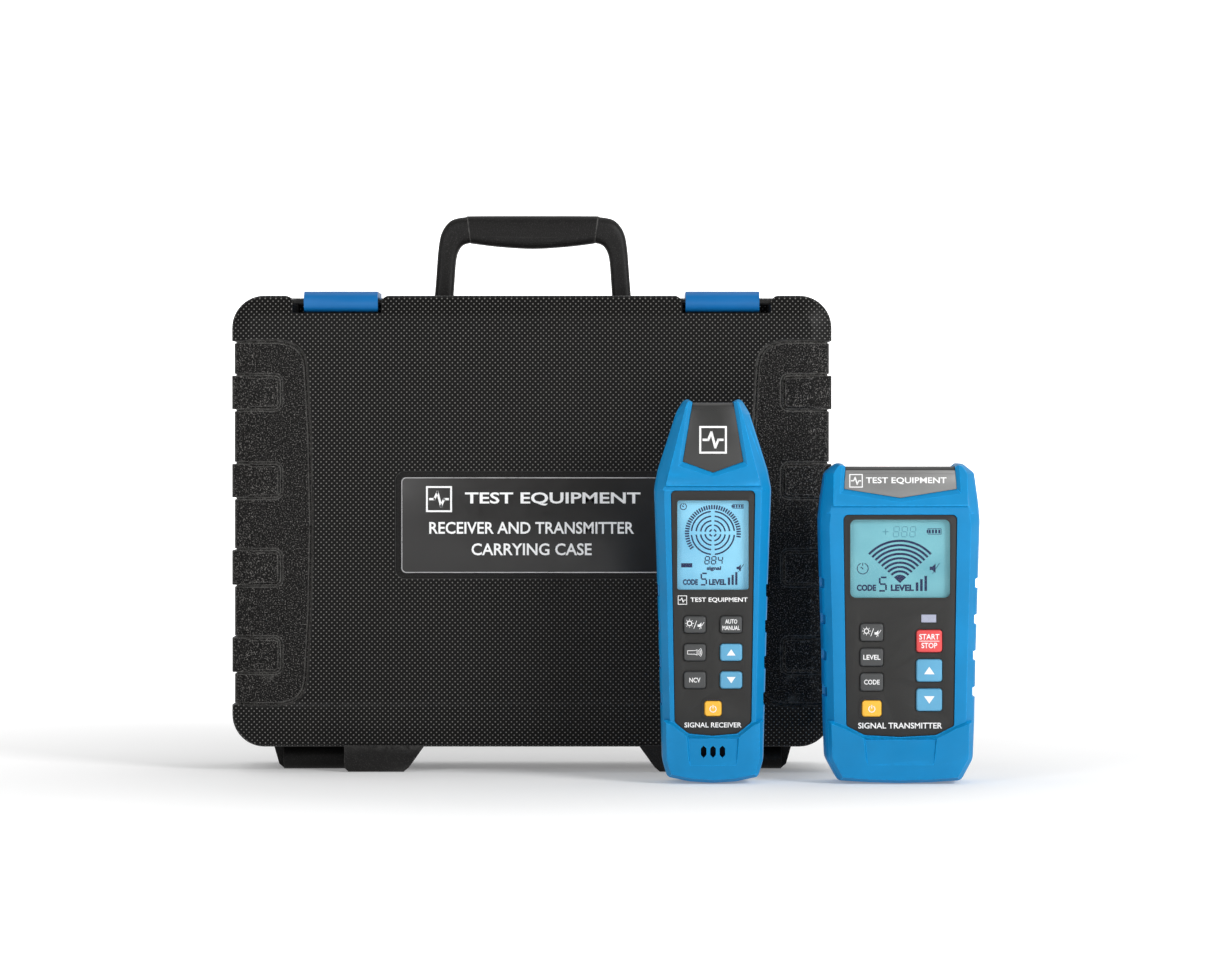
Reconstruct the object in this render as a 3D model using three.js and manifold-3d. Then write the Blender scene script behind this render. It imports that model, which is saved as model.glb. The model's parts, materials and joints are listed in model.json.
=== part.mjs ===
// Circuit breaker finder kit: a signal receiver, a signal transmitter and their hard carrying case.
// Millimetres, +Z up, -Y towards the viewer. The floor is z = 0 and the kit is centred on x = 0 and y = 0.
import * as THREE from 'three';
import { mergeVertices } from 'three/addons/utils/BufferGeometryUtils.js';
import Module from 'manifold-3d';

const wasm = await Module();
wasm.setup();

// ---------------------------------------------------------------- driving dimensions
const GAP = 0.3; // clearance between pieces that touch
const ROUND_SEGMENTS = 16; // sides of a small round piece

const KIT = { caseX: -42, caseY: 34, receiverX: 67.5, transmitterX: 179, toolsY: -100 };

const CASE = {
  halfWidth: 185,
  bottom: 15.5,
  top: 294,
  frontDepth: 38,
  backDepth: 66,
  corner: 20,
  edge: 12,
  edgeDepth: 8,
  wall: 3.5,
};
const HINGE = { z: 7.5, barrel: 7.5, pin: 2.5, hole: 2.9 };
const FRONT_FOOT = { inner: 66, outer: 115.7, back: -33, slope: 13 };
const BACK_FOOT = { inner: 116.3, outer: 162, back: 60, slope: 7 };
const LATCH = { x: 117.5, halfWidth: 22.7, radius: 6.5, pivotY: -30.5, z: 290, pin: 1.6, reach: 17 };
const NOTCH = { x: 120, halfWidth: 27.4, floor: 283, backReach: 24 };
const BAY = { halfWidth: 65, floor: 278.5, front: 3.5 };
const HANDLE = { top: 345.2, pivotY: 10.5, pivotZ: 287.5, halfThick: 6, gripHalf: 8.5, pin: 1.9 };
const LABEL = { z: 152.5, halfWidth: 80.5, halfHeight: 29.75, margin: 3.4, recess: 1.4 };
const TRAY = { skin: 2, halfWidth: 172, bottom: 27, top: 270, front: 1 };
const POCKETS = [
  { x: -121, halfWidth: 38, z0: 32, z1: 266, depth: 43 },
  { x: -17, halfWidth: 51, z0: 40, z1: 236, depth: 49 },
  { x: 107, halfWidth: 55, z0: 40, z1: 236, depth: 41 },
];

// Depths from the front of a tool, shared by both tools.
const STACK = {
  noseFront: 0,
  rimFront: 2,
  capFront: 0.9,
  capBack: 3.6,
  plateFront: 3.5,
  plateBack: 6,
  cavityFront: 8,
  keyFront: 1.9,
  flangeFront: 6.3,
  flangeBack: 7.3,
  matFront: 8.5,
  matBack: 10,
  boardFront: 10.8,
  boardBack: 12.4,
};
const TOOL_WALL = 2.6;
const BATTERY = { halfWidth: 13.25, height: 48.5, depth: 17.5 };

const RECEIVER = {
  name: 'receiver',
  depth: 40,
  split: 20,
  shoulder: 176,
  outline: [
    [0, 0], [14, 0.9], [27.3, 3.8], [30.2, 14], [31.1, 48], [32.9, 118.6], [34.9, 176],
    [32.7, 187], [21.6, 221.5], [17.4, 228.4], [14.8, 229.4], [12.4, 227.6], [0, 227.6],
  ],
  plate: [[0, 29], [14.5, 30.3], [22.7, 37], [24.9, 173], [23.4, 174.6], [0, 174.6]],
  cap: { top: 227.2, topHalf: 12, low: 192.1, lowHalf: 17.9, point: 185.6, block: 217.5 },
  window: { x: 0, z: 142.3, halfWidth: 20.9, halfHeight: 26.2, corner: 1 },
  keys: [
    { name: 'backlight', x: -10.8, z: 95, w: 13.2, h: 10.2, colour: 'grey' },
    { name: 'mode', x: 10.8, z: 95, w: 13.2, h: 10.2, colour: 'grey' },
    { name: 'torch', x: -10.8, z: 78.5, w: 13.2, h: 10.2, colour: 'grey' },
    { name: 'up', x: 10.8, z: 78.5, w: 13.2, h: 10.2, colour: 'sky' },
    { name: 'voltage', x: -10.8, z: 62, w: 13.2, h: 10.2, colour: 'grey' },
    { name: 'down', x: 10.8, z: 62, w: 13.2, h: 10.2, colour: 'sky' },
    { name: 'power', x: 0, z: 45, w: 10.2, h: 9.1, colour: 'yellow' },
  ],
  board: { halfWidth: 25, z0: 34, z1: 178 },
  mat: { halfWidth: 19, z0: 38, z1: 103 },
  grips: { z: [115, 93.5, 72, 50.5], height: 7.6, inset: 1.1 },
  bay: { z0: 24, z1: 76 },
};

const TRANSMITTER = {
  name: 'transmitter',
  depth: 46,
  split: 23,
  shoulder: 161.5,
  outline: [
    [0, 0], [20, 0.5], [36.9, 1.6], [43.9, 14.6], [44.8, 37.2], [45.6, 76.6], [48, 157.3],
    [46.6, 170], [44.3, 185.4], [37.4, 190.9], [34.4, 191.1], [32.8, 189.3], [0, 189.3],
  ],
  plate: [[0, 28.3], [21.3, 29.4], [31.9, 34.8], [33.7, 158.4], [32, 160.2], [0, 160.2]],
  cap: { top: 189, topHalf: 32.4, low: 175.8, lowHalf: 33.4, point: 170.5, block: 179 },
  window: { x: 0, z: 134.2, halfWidth: 29.4, halfHeight: 22.9, corner: 3 },
  keys: [
    { name: 'backlight', x: -17, z: 90.4, w: 13.9, h: 10.7, colour: 'grey' },
    { name: 'level', x: -17, z: 75.6, w: 13.9, h: 10.7, colour: 'grey' },
    { name: 'code', x: -17, z: 60.8, w: 13.9, h: 10.7, colour: 'grey' },
    { name: 'power', x: -17, z: 45, w: 11.7, h: 9.7, colour: 'yellow' },
    { name: 'start', x: 17.2, z: 85.2, w: 15.4, h: 13.4, colour: 'red' },
    { name: 'up', x: 17.2, z: 67.7, w: 15.4, h: 13.4, colour: 'sky' },
    { name: 'down', x: 17.2, z: 50.2, w: 15.4, h: 13.4, colour: 'sky' },
  ],
  board: { halfWidth: 38, z0: 20, z1: 164 },
  mat: { halfWidth: 29, z0: 38, z1: 99 },
  grips: { z: [119.4, 97.8, 76.2, 54.6], height: 5.4, inset: 1.9 },
  bay: { z0: 28, z1: 80 },
};
const SOCKETS = { spacing: 19, radius: 5.5, bore: 2.1, boreDepth: 16, bottom: 170 };
const LAMP = { x: 17, z: 98.6, halfWidth: 4.4, halfHeight: 2.3 };
const SPEAKER_SLOTS = { x: [-5.6, 0, 5.6], z: 19.4, halfWidth: 1.7, halfHeight: 3.7 };

// ---------------------------------------------------------------- materials
const finish = (color, roughness, metalness = 0) => () =>
  new THREE.MeshStandardMaterial({ color, roughness, metalness });

const FINISH = {
  caseBlack: finish(0x1c1b1a, 0.6),
  caseInside: finish(0x232221, 0.75),
  latchBlue: finish(0x1767bd, 0.4),
  label: finish(0x2a2625, 0.2),
  steel: finish(0xb4b7ba, 0.3, 1),
  toolBlue: finish(0x1287d2, 0.5),
  panel: finish(0x2f2e2d, 0.6),
  cap: finish(0x343230, 0.35),
  glass: finish(0xdff3fa, 0.05),
  display: finish(0x7fd4f2, 0.3),
  grey: finish(0x55585a, 0.6),
  sky: finish(0x7db8dc, 0.55),
  yellow: finish(0xfbbc3a, 0.5),
  red: finish(0xe9484d, 0.5),
  rubber: finish(0x1b1b1c, 0.85),
  board: finish(0x1f5c35, 0.5),
  ferrite: finish(0x2c2b2b, 0.8),
  copper: finish(0xb8692f, 0.35, 1),
  battery: finish(0x2b2f33, 0.35, 0.3),
  lamp: finish(0xa9aebf, 0.3),
  socketRed: finish(0xc4252b, 0.4),
  socketBlack: finish(0x151515, 0.4),
};

// ---------------------------------------------------------------- solids
// A closed three.js geometry as a solid that can be joined and cut.
function solidOf(geometry) {
  const bare = geometry.index ? geometry.toNonIndexed() : geometry.clone();
  bare.deleteAttribute('normal');
  bare.deleteAttribute('uv');
  const merged = mergeVertices(bare, 1e-4);
  return new wasm.Manifold(new wasm.Mesh({
    numProp: 3,
    vertProperties: new Float32Array(merged.attributes.position.array),
    triVerts: new Uint32Array(merged.index.array),
  }));
}

function geometryOf(solid) {
  const mesh = solid.getMesh();
  const positions = new Float32Array(mesh.numVert * 3);
  for (let i = 0; i < mesh.numVert; i++) {
    positions.set(mesh.vertProperties.subarray(i * mesh.numProp, i * mesh.numProp + 3), i * 3);
  }
  const geometry = new THREE.BufferGeometry();
  geometry.setAttribute('position', new THREE.BufferAttribute(positions, 3));
  geometry.setIndex(new THREE.BufferAttribute(new Uint32Array(mesh.triVerts), 1));
  geometry.computeVertexNormals();
  return geometry;
}

const joinAll = (solids) => solids.reduce((all, next) => all.add(next));
const cutAll = (solid, tools) => tools.reduce((left, tool) => left.subtract(tool), solid);

function box(x0, x1, y0, y1, z0, z1) {
  const geometry = new THREE.BoxGeometry(x1 - x0, y1 - y0, z1 - z0);
  geometry.translate((x0 + x1) / 2, (y0 + y1) / 2, (z0 + z1) / 2);
  return solidOf(geometry);
}

// An outline in X and Z, pushed from y0 to y1.
function prism(points, y0, y1) {
  const shape = new THREE.Shape(points.map(([x, z]) => new THREE.Vector2(x, z)));
  const geometry = new THREE.ExtrudeGeometry(shape, { depth: y1 - y0, bevelEnabled: false });
  geometry.rotateX(Math.PI / 2);
  geometry.translate(0, y1, 0);
  return solidOf(geometry);
}

// A round rod from a to b along one axis: 'x', 'y' or 'z'. centre holds the other two coordinates in order.
function rod(axis, a, b, centre, radius, sides = ROUND_SEGMENTS) {
  const geometry = new THREE.CylinderGeometry(radius, radius, b - a, sides);
  const middle = (a + b) / 2;
  if (axis === 'x') geometry.rotateZ(Math.PI / 2).translate(middle, centre[0], centre[1]);
  if (axis === 'y') geometry.translate(centre[0], middle, centre[1]);
  if (axis === 'z') geometry.rotateX(Math.PI / 2).translate(centre[0], centre[1], middle);
  return solidOf(geometry);
}

// Outlines of one length, each at its own depth, skinned into one closed body.
function loft(sections) {
  const count = sections[0].points.length;
  const positions = sections.flatMap(({ y, points }) => points.flatMap(([x, z]) => [x, y, z]));
  const index = [];
  for (let s = 0; s + 1 < sections.length; s++) {
    for (let i = 0; i < count; i++) {
      const a = s * count + i;
      const b = s * count + ((i + 1) % count);
      index.push(a, b, a + count, b, b + count, a + count);
    }
  }
  const flat = (section) => section.points.map(([x, z]) => new THREE.Vector2(x, z));
  const last = (sections.length - 1) * count;
  for (const [a, b, c] of THREE.ShapeUtils.triangulateShape(flat(sections[0]), [])) index.push(a, c, b);
  for (const [a, b, c] of THREE.ShapeUtils.triangulateShape(flat(sections.at(-1)), [])) {
    index.push(last + a, last + b, last + c);
  }
  const geometry = new THREE.BufferGeometry();
  geometry.setAttribute('position', new THREE.Float32BufferAttribute(positions, 3));
  geometry.setIndex(index);
  const made = solidOf(geometry);
  if (made.volume() > 0) return made;
  const turned = [];
  for (let i = 0; i < index.length; i += 3) turned.push(index[i], index[i + 2], index[i + 1]);
  geometry.setIndex(turned);
  return solidOf(geometry);
}

// ---------------------------------------------------------------- outlines
// A rectangle with round corners, anticlockwise, with the same number of points whatever its size.
function roundRect(x0, x1, z0, z1, radius, steps = 4) {
  const centres = [
    [x1 - radius, z0 + radius, -90],
    [x1 - radius, z1 - radius, 0],
    [x0 + radius, z1 - radius, 90],
    [x0 + radius, z0 + radius, 180],
  ];
  return centres.flatMap(([cx, cz, from]) =>
    Array.from({ length: steps + 1 }, (_, i) => {
      const angle = THREE.MathUtils.degToRad(from + (90 * i) / steps);
      return [cx + radius * Math.cos(angle), cz + radius * Math.sin(angle)];
    }));
}

// The right half of a symmetrical outline, from its lowest point to its highest, made whole.
function mirrored(half) {
  const left = half.filter(([x]) => x !== 0).reverse().map(([x, z]) => [-x, z]);
  return [...half, ...left];
}

// Each corner of an anticlockwise outline moved inwards, so that its sides move by d.
function inset(points, d) {
  const count = points.length;
  return points.map(([x, z], i) => {
    const [px, pz] = points[(i + count - 1) % count];
    const [nx, nz] = points[(i + 1) % count];
    const before = new THREE.Vector2(x - px, z - pz).normalize();
    const after = new THREE.Vector2(nx - x, nz - z).normalize();
    const normal = new THREE.Vector2(-before.y - after.y, before.x + after.x).normalize();
    const reach = Math.max(0.5, normal.dot(new THREE.Vector2(-before.y, before.x)));
    return [x + (normal.x * d) / reach, z + (normal.y * d) / reach];
  });
}

// An outline drawn closer to its own centre, so that its widest points move inwards by d.
function shrink(points, d) {
  const xs = points.map(([x]) => x);
  const zs = points.map(([, z]) => z);
  const [x0, x1, z0, z1] = [Math.min(...xs), Math.max(...xs), Math.min(...zs), Math.max(...zs)];
  const [cx, cz] = [(x0 + x1) / 2, (z0 + z1) / 2];
  const [kx, kz] = [1 - (2 * d) / (x1 - x0), 1 - (2 * d) / (z1 - z0)];
  return points.map(([x, z]) => [cx + (x - cx) * kx, cz + (z - cz) * kz]);
}

// Half the width of a symmetrical outline at one height.
function halfWidthAt(half, z) {
  const above = half.findIndex((point) => point[1] >= z);
  const [x0, z0] = half[above - 1];
  const [x1, z1] = half[above];
  return x0 + ((x1 - x0) * (z - z0)) / (z1 - z0);
}

// ---------------------------------------------------------------- scene graph
function group(x, y, z) {
  const made = new THREE.Group();
  made.position.set(x, y, z);
  return made;
}

function place(parent, name, solid, material, x = 0, y = 0, z = 0) {
  const mesh = new THREE.Mesh(geometryOf(solid), FINISH[material]());
  mesh.name = name;
  mesh.position.set(x, y, z);
  parent.add(mesh);
}

// ---------------------------------------------------------------- carrying case
const caseOutline = (d) => roundRect(
  -CASE.halfWidth + d, CASE.halfWidth - d, CASE.bottom + d, CASE.top - d,
  Math.max(CASE.corner - d, 5), 5);

// One half of the case as a solid block. face is its outer face and side is -1 for the front, 1 for the back.
function caseBlock(face, side) {
  const sections = [
    { y: side * GAP / 2, d: 0 },
    { y: face - side * CASE.edgeDepth, d: 0 },
    { y: face - side * CASE.edgeDepth * 0.6, d: 1.8 },
    { y: face, d: CASE.edge },
  ];
  return loft(sections.map(({ y, d }) => ({ y, points: caseOutline(d) })));
}

function caseCavity(face, side) {
  const sections = [
    { y: -side, d: CASE.wall },
    { y: face - side * CASE.edgeDepth, d: CASE.wall },
    { y: face - side * CASE.wall, d: CASE.edge + 1 },
  ];
  return loft(sections.map(({ y, d }) => ({ y, points: caseOutline(d) })));
}

const latchSides = [['left', -1], ['right', 1]];

const notchBox = (side, y0, y1, grow) => box(
  side * NOTCH.x - NOTCH.halfWidth - grow, side * NOTCH.x + NOTCH.halfWidth + grow,
  y0, y1, NOTCH.floor - grow, CASE.top + 10);

function footOf(foot, side, depth) {
  const mirroredX = (points) => (side < 0 ? points.map(([x, z]) => [-x, z]).reverse() : points);
  const sloped = foot === FRONT_FOOT
    ? [[foot.inner, CASE.bottom + 1], [foot.inner + foot.slope * 0.75, 3], [foot.inner + foot.slope, 0],
      [foot.outer - 2.5, 0], [foot.outer, 2.5], [foot.outer, CASE.bottom + 1]]
    : [[foot.inner, CASE.bottom + 1], [foot.inner, 0], [foot.outer - foot.slope, 0],
      [foot.outer - foot.slope * 0.55, 3], [foot.outer, CASE.bottom + 1]];
  const [y0, y1] = depth < 0 ? [depth, -GAP / 2] : [GAP / 2, depth];
  const barrelEnds = foot === FRONT_FOOT
    ? [foot.inner + foot.slope, foot.outer]
    : [foot.inner, foot.outer - foot.slope];
  const [x0, x1] = side < 0 ? [-barrelEnds[1], -barrelEnds[0]] : barrelEnds;
  return prism(mirroredX(sloped), y0, y1).add(rod('x', x0, x1, [0, HINGE.z], HINGE.barrel, 20));
}

const hingeHole = (side, from, to) => {
  const [x0, x1] = side < 0 ? [-to, -from] : [from, to];
  return rod('x', x0, x1, [0, HINGE.z], HINGE.hole);
};

function frontShell() {
  const hollow = cutAll(caseCavity(-CASE.frontDepth, -1),
    latchSides.map(([, side]) => notchBox(side, -50, 2, CASE.wall)));
  const block = joinAll([
    caseBlock(-CASE.frontDepth, -1),
    ...latchSides.map(([, side]) => footOf(FRONT_FOOT, side, FRONT_FOOT.back)),
  ]);
  const latchPinHoles = latchSides.map(([, side]) => rod('x',
    side * NOTCH.x - NOTCH.halfWidth - 2, side * NOTCH.x + NOTCH.halfWidth + 2,
    [LATCH.pivotY, LATCH.z], LATCH.pin + GAP));
  const labelRecess = prism(roundRect(
    -LABEL.halfWidth - LABEL.margin, LABEL.halfWidth + LABEL.margin,
    LABEL.z - LABEL.halfHeight - LABEL.margin, LABEL.z + LABEL.halfHeight + LABEL.margin, 6),
  -CASE.frontDepth - 1, -CASE.frontDepth + LABEL.recess);
  return cutAll(block, [
    hollow,
    ...latchSides.map(([, side]) => notchBox(side, -50, 2, 0)),
    ...latchPinHoles,
    ...latchSides.map(([, side]) => hingeHole(side, 81, 120)),
    labelRecess,
  ]);
}

function backShell() {
  const bay = (grow) => box(-BAY.halfWidth - grow, BAY.halfWidth + grow,
    BAY.front - grow, 80, BAY.floor - grow, CASE.top + 10);
  const hollow = cutAll(caseCavity(CASE.backDepth, 1), [
    bay(CASE.wall),
    ...latchSides.map(([, side]) => notchBox(side, -2, NOTCH.backReach + CASE.wall, CASE.wall)),
  ]);
  const block = joinAll([
    caseBlock(CASE.backDepth, 1),
    ...latchSides.map(([, side]) => footOf(BACK_FOOT, side, BACK_FOOT.back)),
  ]);
  const shell = cutAll(block, [
    hollow,
    bay(0),
    ...latchSides.map(([, side]) => notchBox(side, -2, NOTCH.backReach, 0)),
    ...latchSides.map(([, side]) => hingeHole(side, 110, 152)),
    ...[-1, 1].map((side) => rod('x', side < 0 ? -68 : 63, side < 0 ? -63 : 68,
      [HANDLE.pivotY, HANDLE.pivotZ], HANDLE.pin + GAP)),
  ]);
  const catches = latchSides.map(([, side]) => box(
    side * LATCH.x - LATCH.halfWidth + 4, side * LATCH.x + LATCH.halfWidth - 4,
    8, 12, NOTCH.floor - 1, NOTCH.floor + 1.8));
  return joinAll([shell, ...catches]);
}

// A round barrel on the pin, a plate over both shells and a lip that hangs behind the catch.
function latch() {
  const { halfWidth, radius, reach, pivotY } = LATCH;
  const plate = box(-halfWidth, halfWidth, 0, reach - pivotY, radius - 4, radius);
  const lip = box(-halfWidth + 2, halfWidth - 2, reach - pivotY - 4, reach - pivotY, -4.3, radius - 3);
  return joinAll([rod('x', -halfWidth, halfWidth, [0, 0], radius, 24), plate, lip])
    .subtract(rod('x', -halfWidth - 1, halfWidth + 1, [0, 0], LATCH.pin + GAP));
}

function handle() {
  const { top, pivotY, pivotZ, halfThick, gripHalf, pin } = HANDLE;
  const outer = mirrored([
    [0, pivotZ], [62, pivotZ], [58.9, top - 18], [55.8, top - 8.5], [49, top - 2.4], [39, top - 0.6], [0, top],
  ]);
  const inner = mirrored([
    [0, pivotZ - 9], [50, pivotZ - 9], [47.6, top - 26], [44.8, top - 19.5], [39, top - 17], [0, top - 21],
  ]);
  const grip = mirrored([[0, top - 21], [40, top - 17], [42, top - 1.2], [0, top - 0.4]]);
  const bow = prism(outer, -halfThick, halfThick).subtract(prism(inner, -20, 20));
  const bosses = [-1, 1].map((side) => rod('x',
    side < 0 ? -62 : 50, side < 0 ? -50 : 62, [0, pivotZ], halfThick, 20));
  const holes = [-1, 1].map((side) => rod('x',
    side < 0 ? -65 : 51, side < 0 ? -51 : 65, [0, pivotZ], pin + GAP));
  const whole = joinAll([bow, prism(grip, -gripHalf, gripHalf), ...bosses]);
  return { solid: cutAll(whole, holes), y: pivotY };
}

// A thin moulded skin with one pocket for each tool and one for the leads.
function innerTray() {
  const { skin, halfWidth, bottom, top, front } = TRAY;
  const sheet = prism(roundRect(-halfWidth, halfWidth, bottom, top, 12), front, front + skin);
  const pocket = (p, grow) => prism(roundRect(
    p.x - p.halfWidth - grow, p.x + p.halfWidth + grow, p.z0 - grow, p.z1 + grow, 6 + grow),
  grow ? front : front - 1, front + p.depth + grow);
  const cups = POCKETS.map((p) => pocket(p, skin));
  return cutAll(joinAll([sheet, ...cups]), POCKETS.map((p) => pocket(p, 0)));
}

function frontLiner() {
  const { skin, halfWidth, bottom } = TRAY;
  const top = NOTCH.floor - CASE.wall - 3;
  return prism(roundRect(-halfWidth, halfWidth, bottom, top, 12), -2 - skin, -2);
}

function buildCase() {
  const made = group(KIT.caseX, KIT.caseY, 0);
  place(made, 'case_front_shell', frontShell(), 'caseBlack');
  place(made, 'case_back_shell', backShell(), 'caseBlack');
  place(made, 'case_inner_tray', innerTray(), 'caseInside');
  place(made, 'case_front_liner', frontLiner(), 'caseInside');
  const labelShape = roundRect(-LABEL.halfWidth, LABEL.halfWidth, -LABEL.halfHeight, LABEL.halfHeight, 3);
  place(made, 'case_label', prism(labelShape, 0, 0.9), 'label',
    0, -CASE.frontDepth + LABEL.recess - GAP - 0.9, LABEL.z);
  for (const [word, side] of latchSides) {
    place(made, `latch_${word}`, latch(), 'latchBlue', side * LATCH.x, LATCH.pivotY, LATCH.z);
    place(made, `latch_pin_${word}`, rod('x', -NOTCH.halfWidth - 1.7, NOTCH.halfWidth + 1.7, [0, 0], LATCH.pin),
      'steel', side * NOTCH.x, LATCH.pivotY, LATCH.z);
    place(made, `hinge_pin_${word}`, rod('x', -34, 34, [0, 0], HINGE.pin), 'steel', side * 116, 0, HINGE.z);
    place(made, `handle_pin_${word}`, rod('x', -7.5, 7.5, [0, 0], HANDLE.pin), 'steel',
      side * 60.2, HANDLE.pivotY, HANDLE.pivotZ);
  }
  const carry = handle();
  place(made, 'carry_handle', carry.solid, 'caseBlack', 0, carry.y, 0);
  return made;
}

// ---------------------------------------------------------------- tools
const toolSections = (outline, rows) => loft(rows.map(([y, d]) => ({ y, points: shrink(outline, d) })));

// The upper part of the body stands proud of the rest, down to a sloping shoulder.
function nose(tool) {
  const upper = tool.outline.filter(([x, z]) => z > tool.shoulder + 4 || (x === 0 && z > tool.shoulder));
  const width = tool.outline.find(([, z]) => z >= tool.shoulder - 6)[0];
  const base = (z) => [[0, z], [width - 1, z]];
  const section = (y, d, z) => ({ y, points: shrink(mirrored([...base(z), ...upper]), d) });
  return loft([
    section(STACK.noseFront, 6.5, tool.shoulder + 2.5),
    section(STACK.rimFront + 1, 4, tool.shoulder),
    section(STACK.cavityFront, 1.5, tool.shoulder),
  ]);
}

function toolBlock(tool) {
  const outline = mirrored(tool.outline);
  const { depth } = tool;
  const body = toolSections(outline, [
    [STACK.rimFront, 7], [STACK.rimFront + 2.5, 2.6], [9.5, 0], [depth - 8, 0], [depth - 2.4, 2.2], [depth, 6],
  ]);
  const grips = [-1, 1].flatMap((side) => tool.grips.z.map((z) => {
    const edge = halfWidthAt(tool.outline, z) - tool.grips.inset;
    const [x0, x1] = side < 0 ? [-60, -edge] : [edge, 60];
    return box(x0, x1, 7, depth - 7, z - tool.grips.height / 2, z + tool.grips.height / 2);
  }));
  return cutAll(body.add(nose(tool)), grips);
}

function toolCavity(tool) {
  return toolSections(mirrored(tool.outline), [
    [STACK.cavityFront, 5.2],
    [STACK.cavityFront + 4, TOOL_WALL],
    [tool.depth - 10, TOOL_WALL],
    [tool.depth - 2.4, 8],
  ]);
}

function capSolid(tool, grow) {
  const { top, topHalf, low, lowHalf, point, block } = tool.cap;
  const slope = (lowHalf - topHalf) / (top - low);
  const blockHalf = topHalf + slope * (top - block);
  const rise = grow > 0 ? 6 : 0;
  const face = mirrored([
    [0, point - grow], [lowHalf + grow, low - grow], [topHalf + grow - slope * rise, top + rise], [0, top + rise],
  ]);
  const end = mirrored([
    [0, block - grow], [blockHalf + grow, block - grow], [topHalf + grow - slope * rise, top + rise], [0, top + rise],
  ]);
  const front = grow > 0 ? -2 : STACK.capFront;
  const back = grow > 0 ? tool.depth + 2 : tool.depth - 0.9;
  return prism(face, front, STACK.capBack + grow).add(prism(end, front, back));
}

const plateOutline = (tool, d) => inset(mirrored(tool.plate), d);

const batteryDoor = (tool, grow) => box(
  -BATTERY.halfWidth - 2.4 - grow, BATTERY.halfWidth + 2.4 + grow,
  tool.depth - 2.4 + (grow ? -0.1 : 0.1), tool.depth + (grow ? 2 : 0),
  tool.bay.z0 - 11 - grow, tool.bay.z1 + 2.2 + grow);

const doorScrewAt = (tool) => [0, tool.bay.z0 - 6.5];

// Front and back covers, with the battery box and the door's screw boss moulded into the back one.
function covers(tool) {
  const block = toolBlock(tool);
  const cavity = toolCavity(tool);
  const { depth, split, bay } = tool;
  const hull = block.subtract(cavity).subtract(capSolid(tool, GAP));
  const frontHalf = hull.intersect(box(-80, 80, -10, split - GAP / 2, -10, 300));
  const backHalf = hull.intersect(box(-80, 80, split + GAP / 2, 80, -10, 300));
  const front = cutAll(frontHalf, [
    prism(plateOutline(tool, -GAP), -2, STACK.plateBack + GAP),
    prism(plateOutline(tool, 2), 0, STACK.cavityFront + 2),
  ]);
  const wall = 1.5;
  const inner = BATTERY.halfWidth + 0.9;
  const boxFront = depth - 2.4 - BATTERY.depth - 1;
  const boss = rod('y', 0, 0.001 + 10, [0, 0], 3.4, 12).translate([0, depth - 12, doorScrewAt(tool)[1]]);
  const back = cutAll(
    joinAll([
      backHalf,
      box(-BATTERY.halfWidth - 5, BATTERY.halfWidth + 5, depth - 4.6, depth - 1, bay.z0 - 13.4, bay.z1 + 4.6),
      box(-inner - wall, inner + wall, boxFront - wall, depth - 2, bay.z0 - wall, bay.z1 + wall),
      boss,
    ]),
    [
      box(-inner, inner, boxFront, depth + 5, bay.z0, bay.z1),
      batteryDoor(tool, GAP),
      rod('y', depth - 11, depth, doorScrewAt(tool), 1.5, 12),
    ]);
  return { front, back };
}

function faceplate(tool, extraHoles) {
  const { window: w, keys } = tool;
  const holes = keys.map((k) => prism(roundRect(
    k.x - k.w / 2 - GAP, k.x + k.w / 2 + GAP, k.z - k.h / 2 - GAP, k.z + k.h / 2 + GAP, 2.2, 3), 0, 10));
  const opening = prism(roundRect(
    w.x - w.halfWidth - GAP, w.x + w.halfWidth + GAP,
    w.z - w.halfHeight - GAP, w.z + w.halfHeight + GAP, w.corner + GAP, 3), 0, 10);
  return cutAll(prism(plateOutline(tool, 0), STACK.plateFront, STACK.plateBack), [...holes, opening, ...extraHoles]);
}

// A key cap with a hidden flange that keeps it behind the faceplate.
function keyCap(key) {
  const face = roundRect(-key.w / 2, key.w / 2, -key.h / 2, key.h / 2, 1.9, 3);
  const cap = prism(face, STACK.keyFront, STACK.flangeBack);
  const flange = prism(inset(face, -1), STACK.flangeFront, STACK.flangeBack);
  return cap.add(flange);
}

function battery(tool) {
  const bottom = tool.bay.z0 + 0.8;
  const y1 = tool.depth - 2.4 - 0.5;
  const y0 = y1 - BATTERY.depth;
  const top = bottom + BATTERY.height - 2.4;
  const middle = (y0 + y1) / 2;
  const can = prism(roundRect(-BATTERY.halfWidth, BATTERY.halfWidth, bottom, top, 1.6, 3), y0, y1);
  const terminals = [-6.4, 6.4].map((x) => rod('z', top - 1, top + 2.4, [x, middle], 3.4, 12));
  return joinAll([can, ...terminals]);
}

function doorScrew(tool) {
  const [x, z] = doorScrewAt(tool);
  const head = rod('y', tool.depth - 1.5, tool.depth - 0.4, [x, z], 2.6);
  const slot = box(x - 2, x + 2, tool.depth - 0.9, tool.depth + 1, z - 0.35, z + 0.35);
  return head.subtract(slot).add(rod('y', tool.depth - 9.5, tool.depth - 1.2, [x, z], 1.2, 12));
}

function doorSolid(tool) {
  const [x, z] = doorScrewAt(tool);
  const ribs = [0, 1, 2, 3].map((i) => box(-8, 8, tool.depth - 0.5, tool.depth + 1,
    tool.bay.z1 - 6 - i * 3.2, tool.bay.z1 - 4.6 - i * 3.2));
  return cutAll(batteryDoor(tool, 0), [
    rod('y', tool.depth - 1.8, tool.depth + 1, [x, z], 2.9),
    rod('y', tool.depth - 5, tool.depth, [x, z], 1.5, 12),
    ...ribs,
  ]);
}

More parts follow.
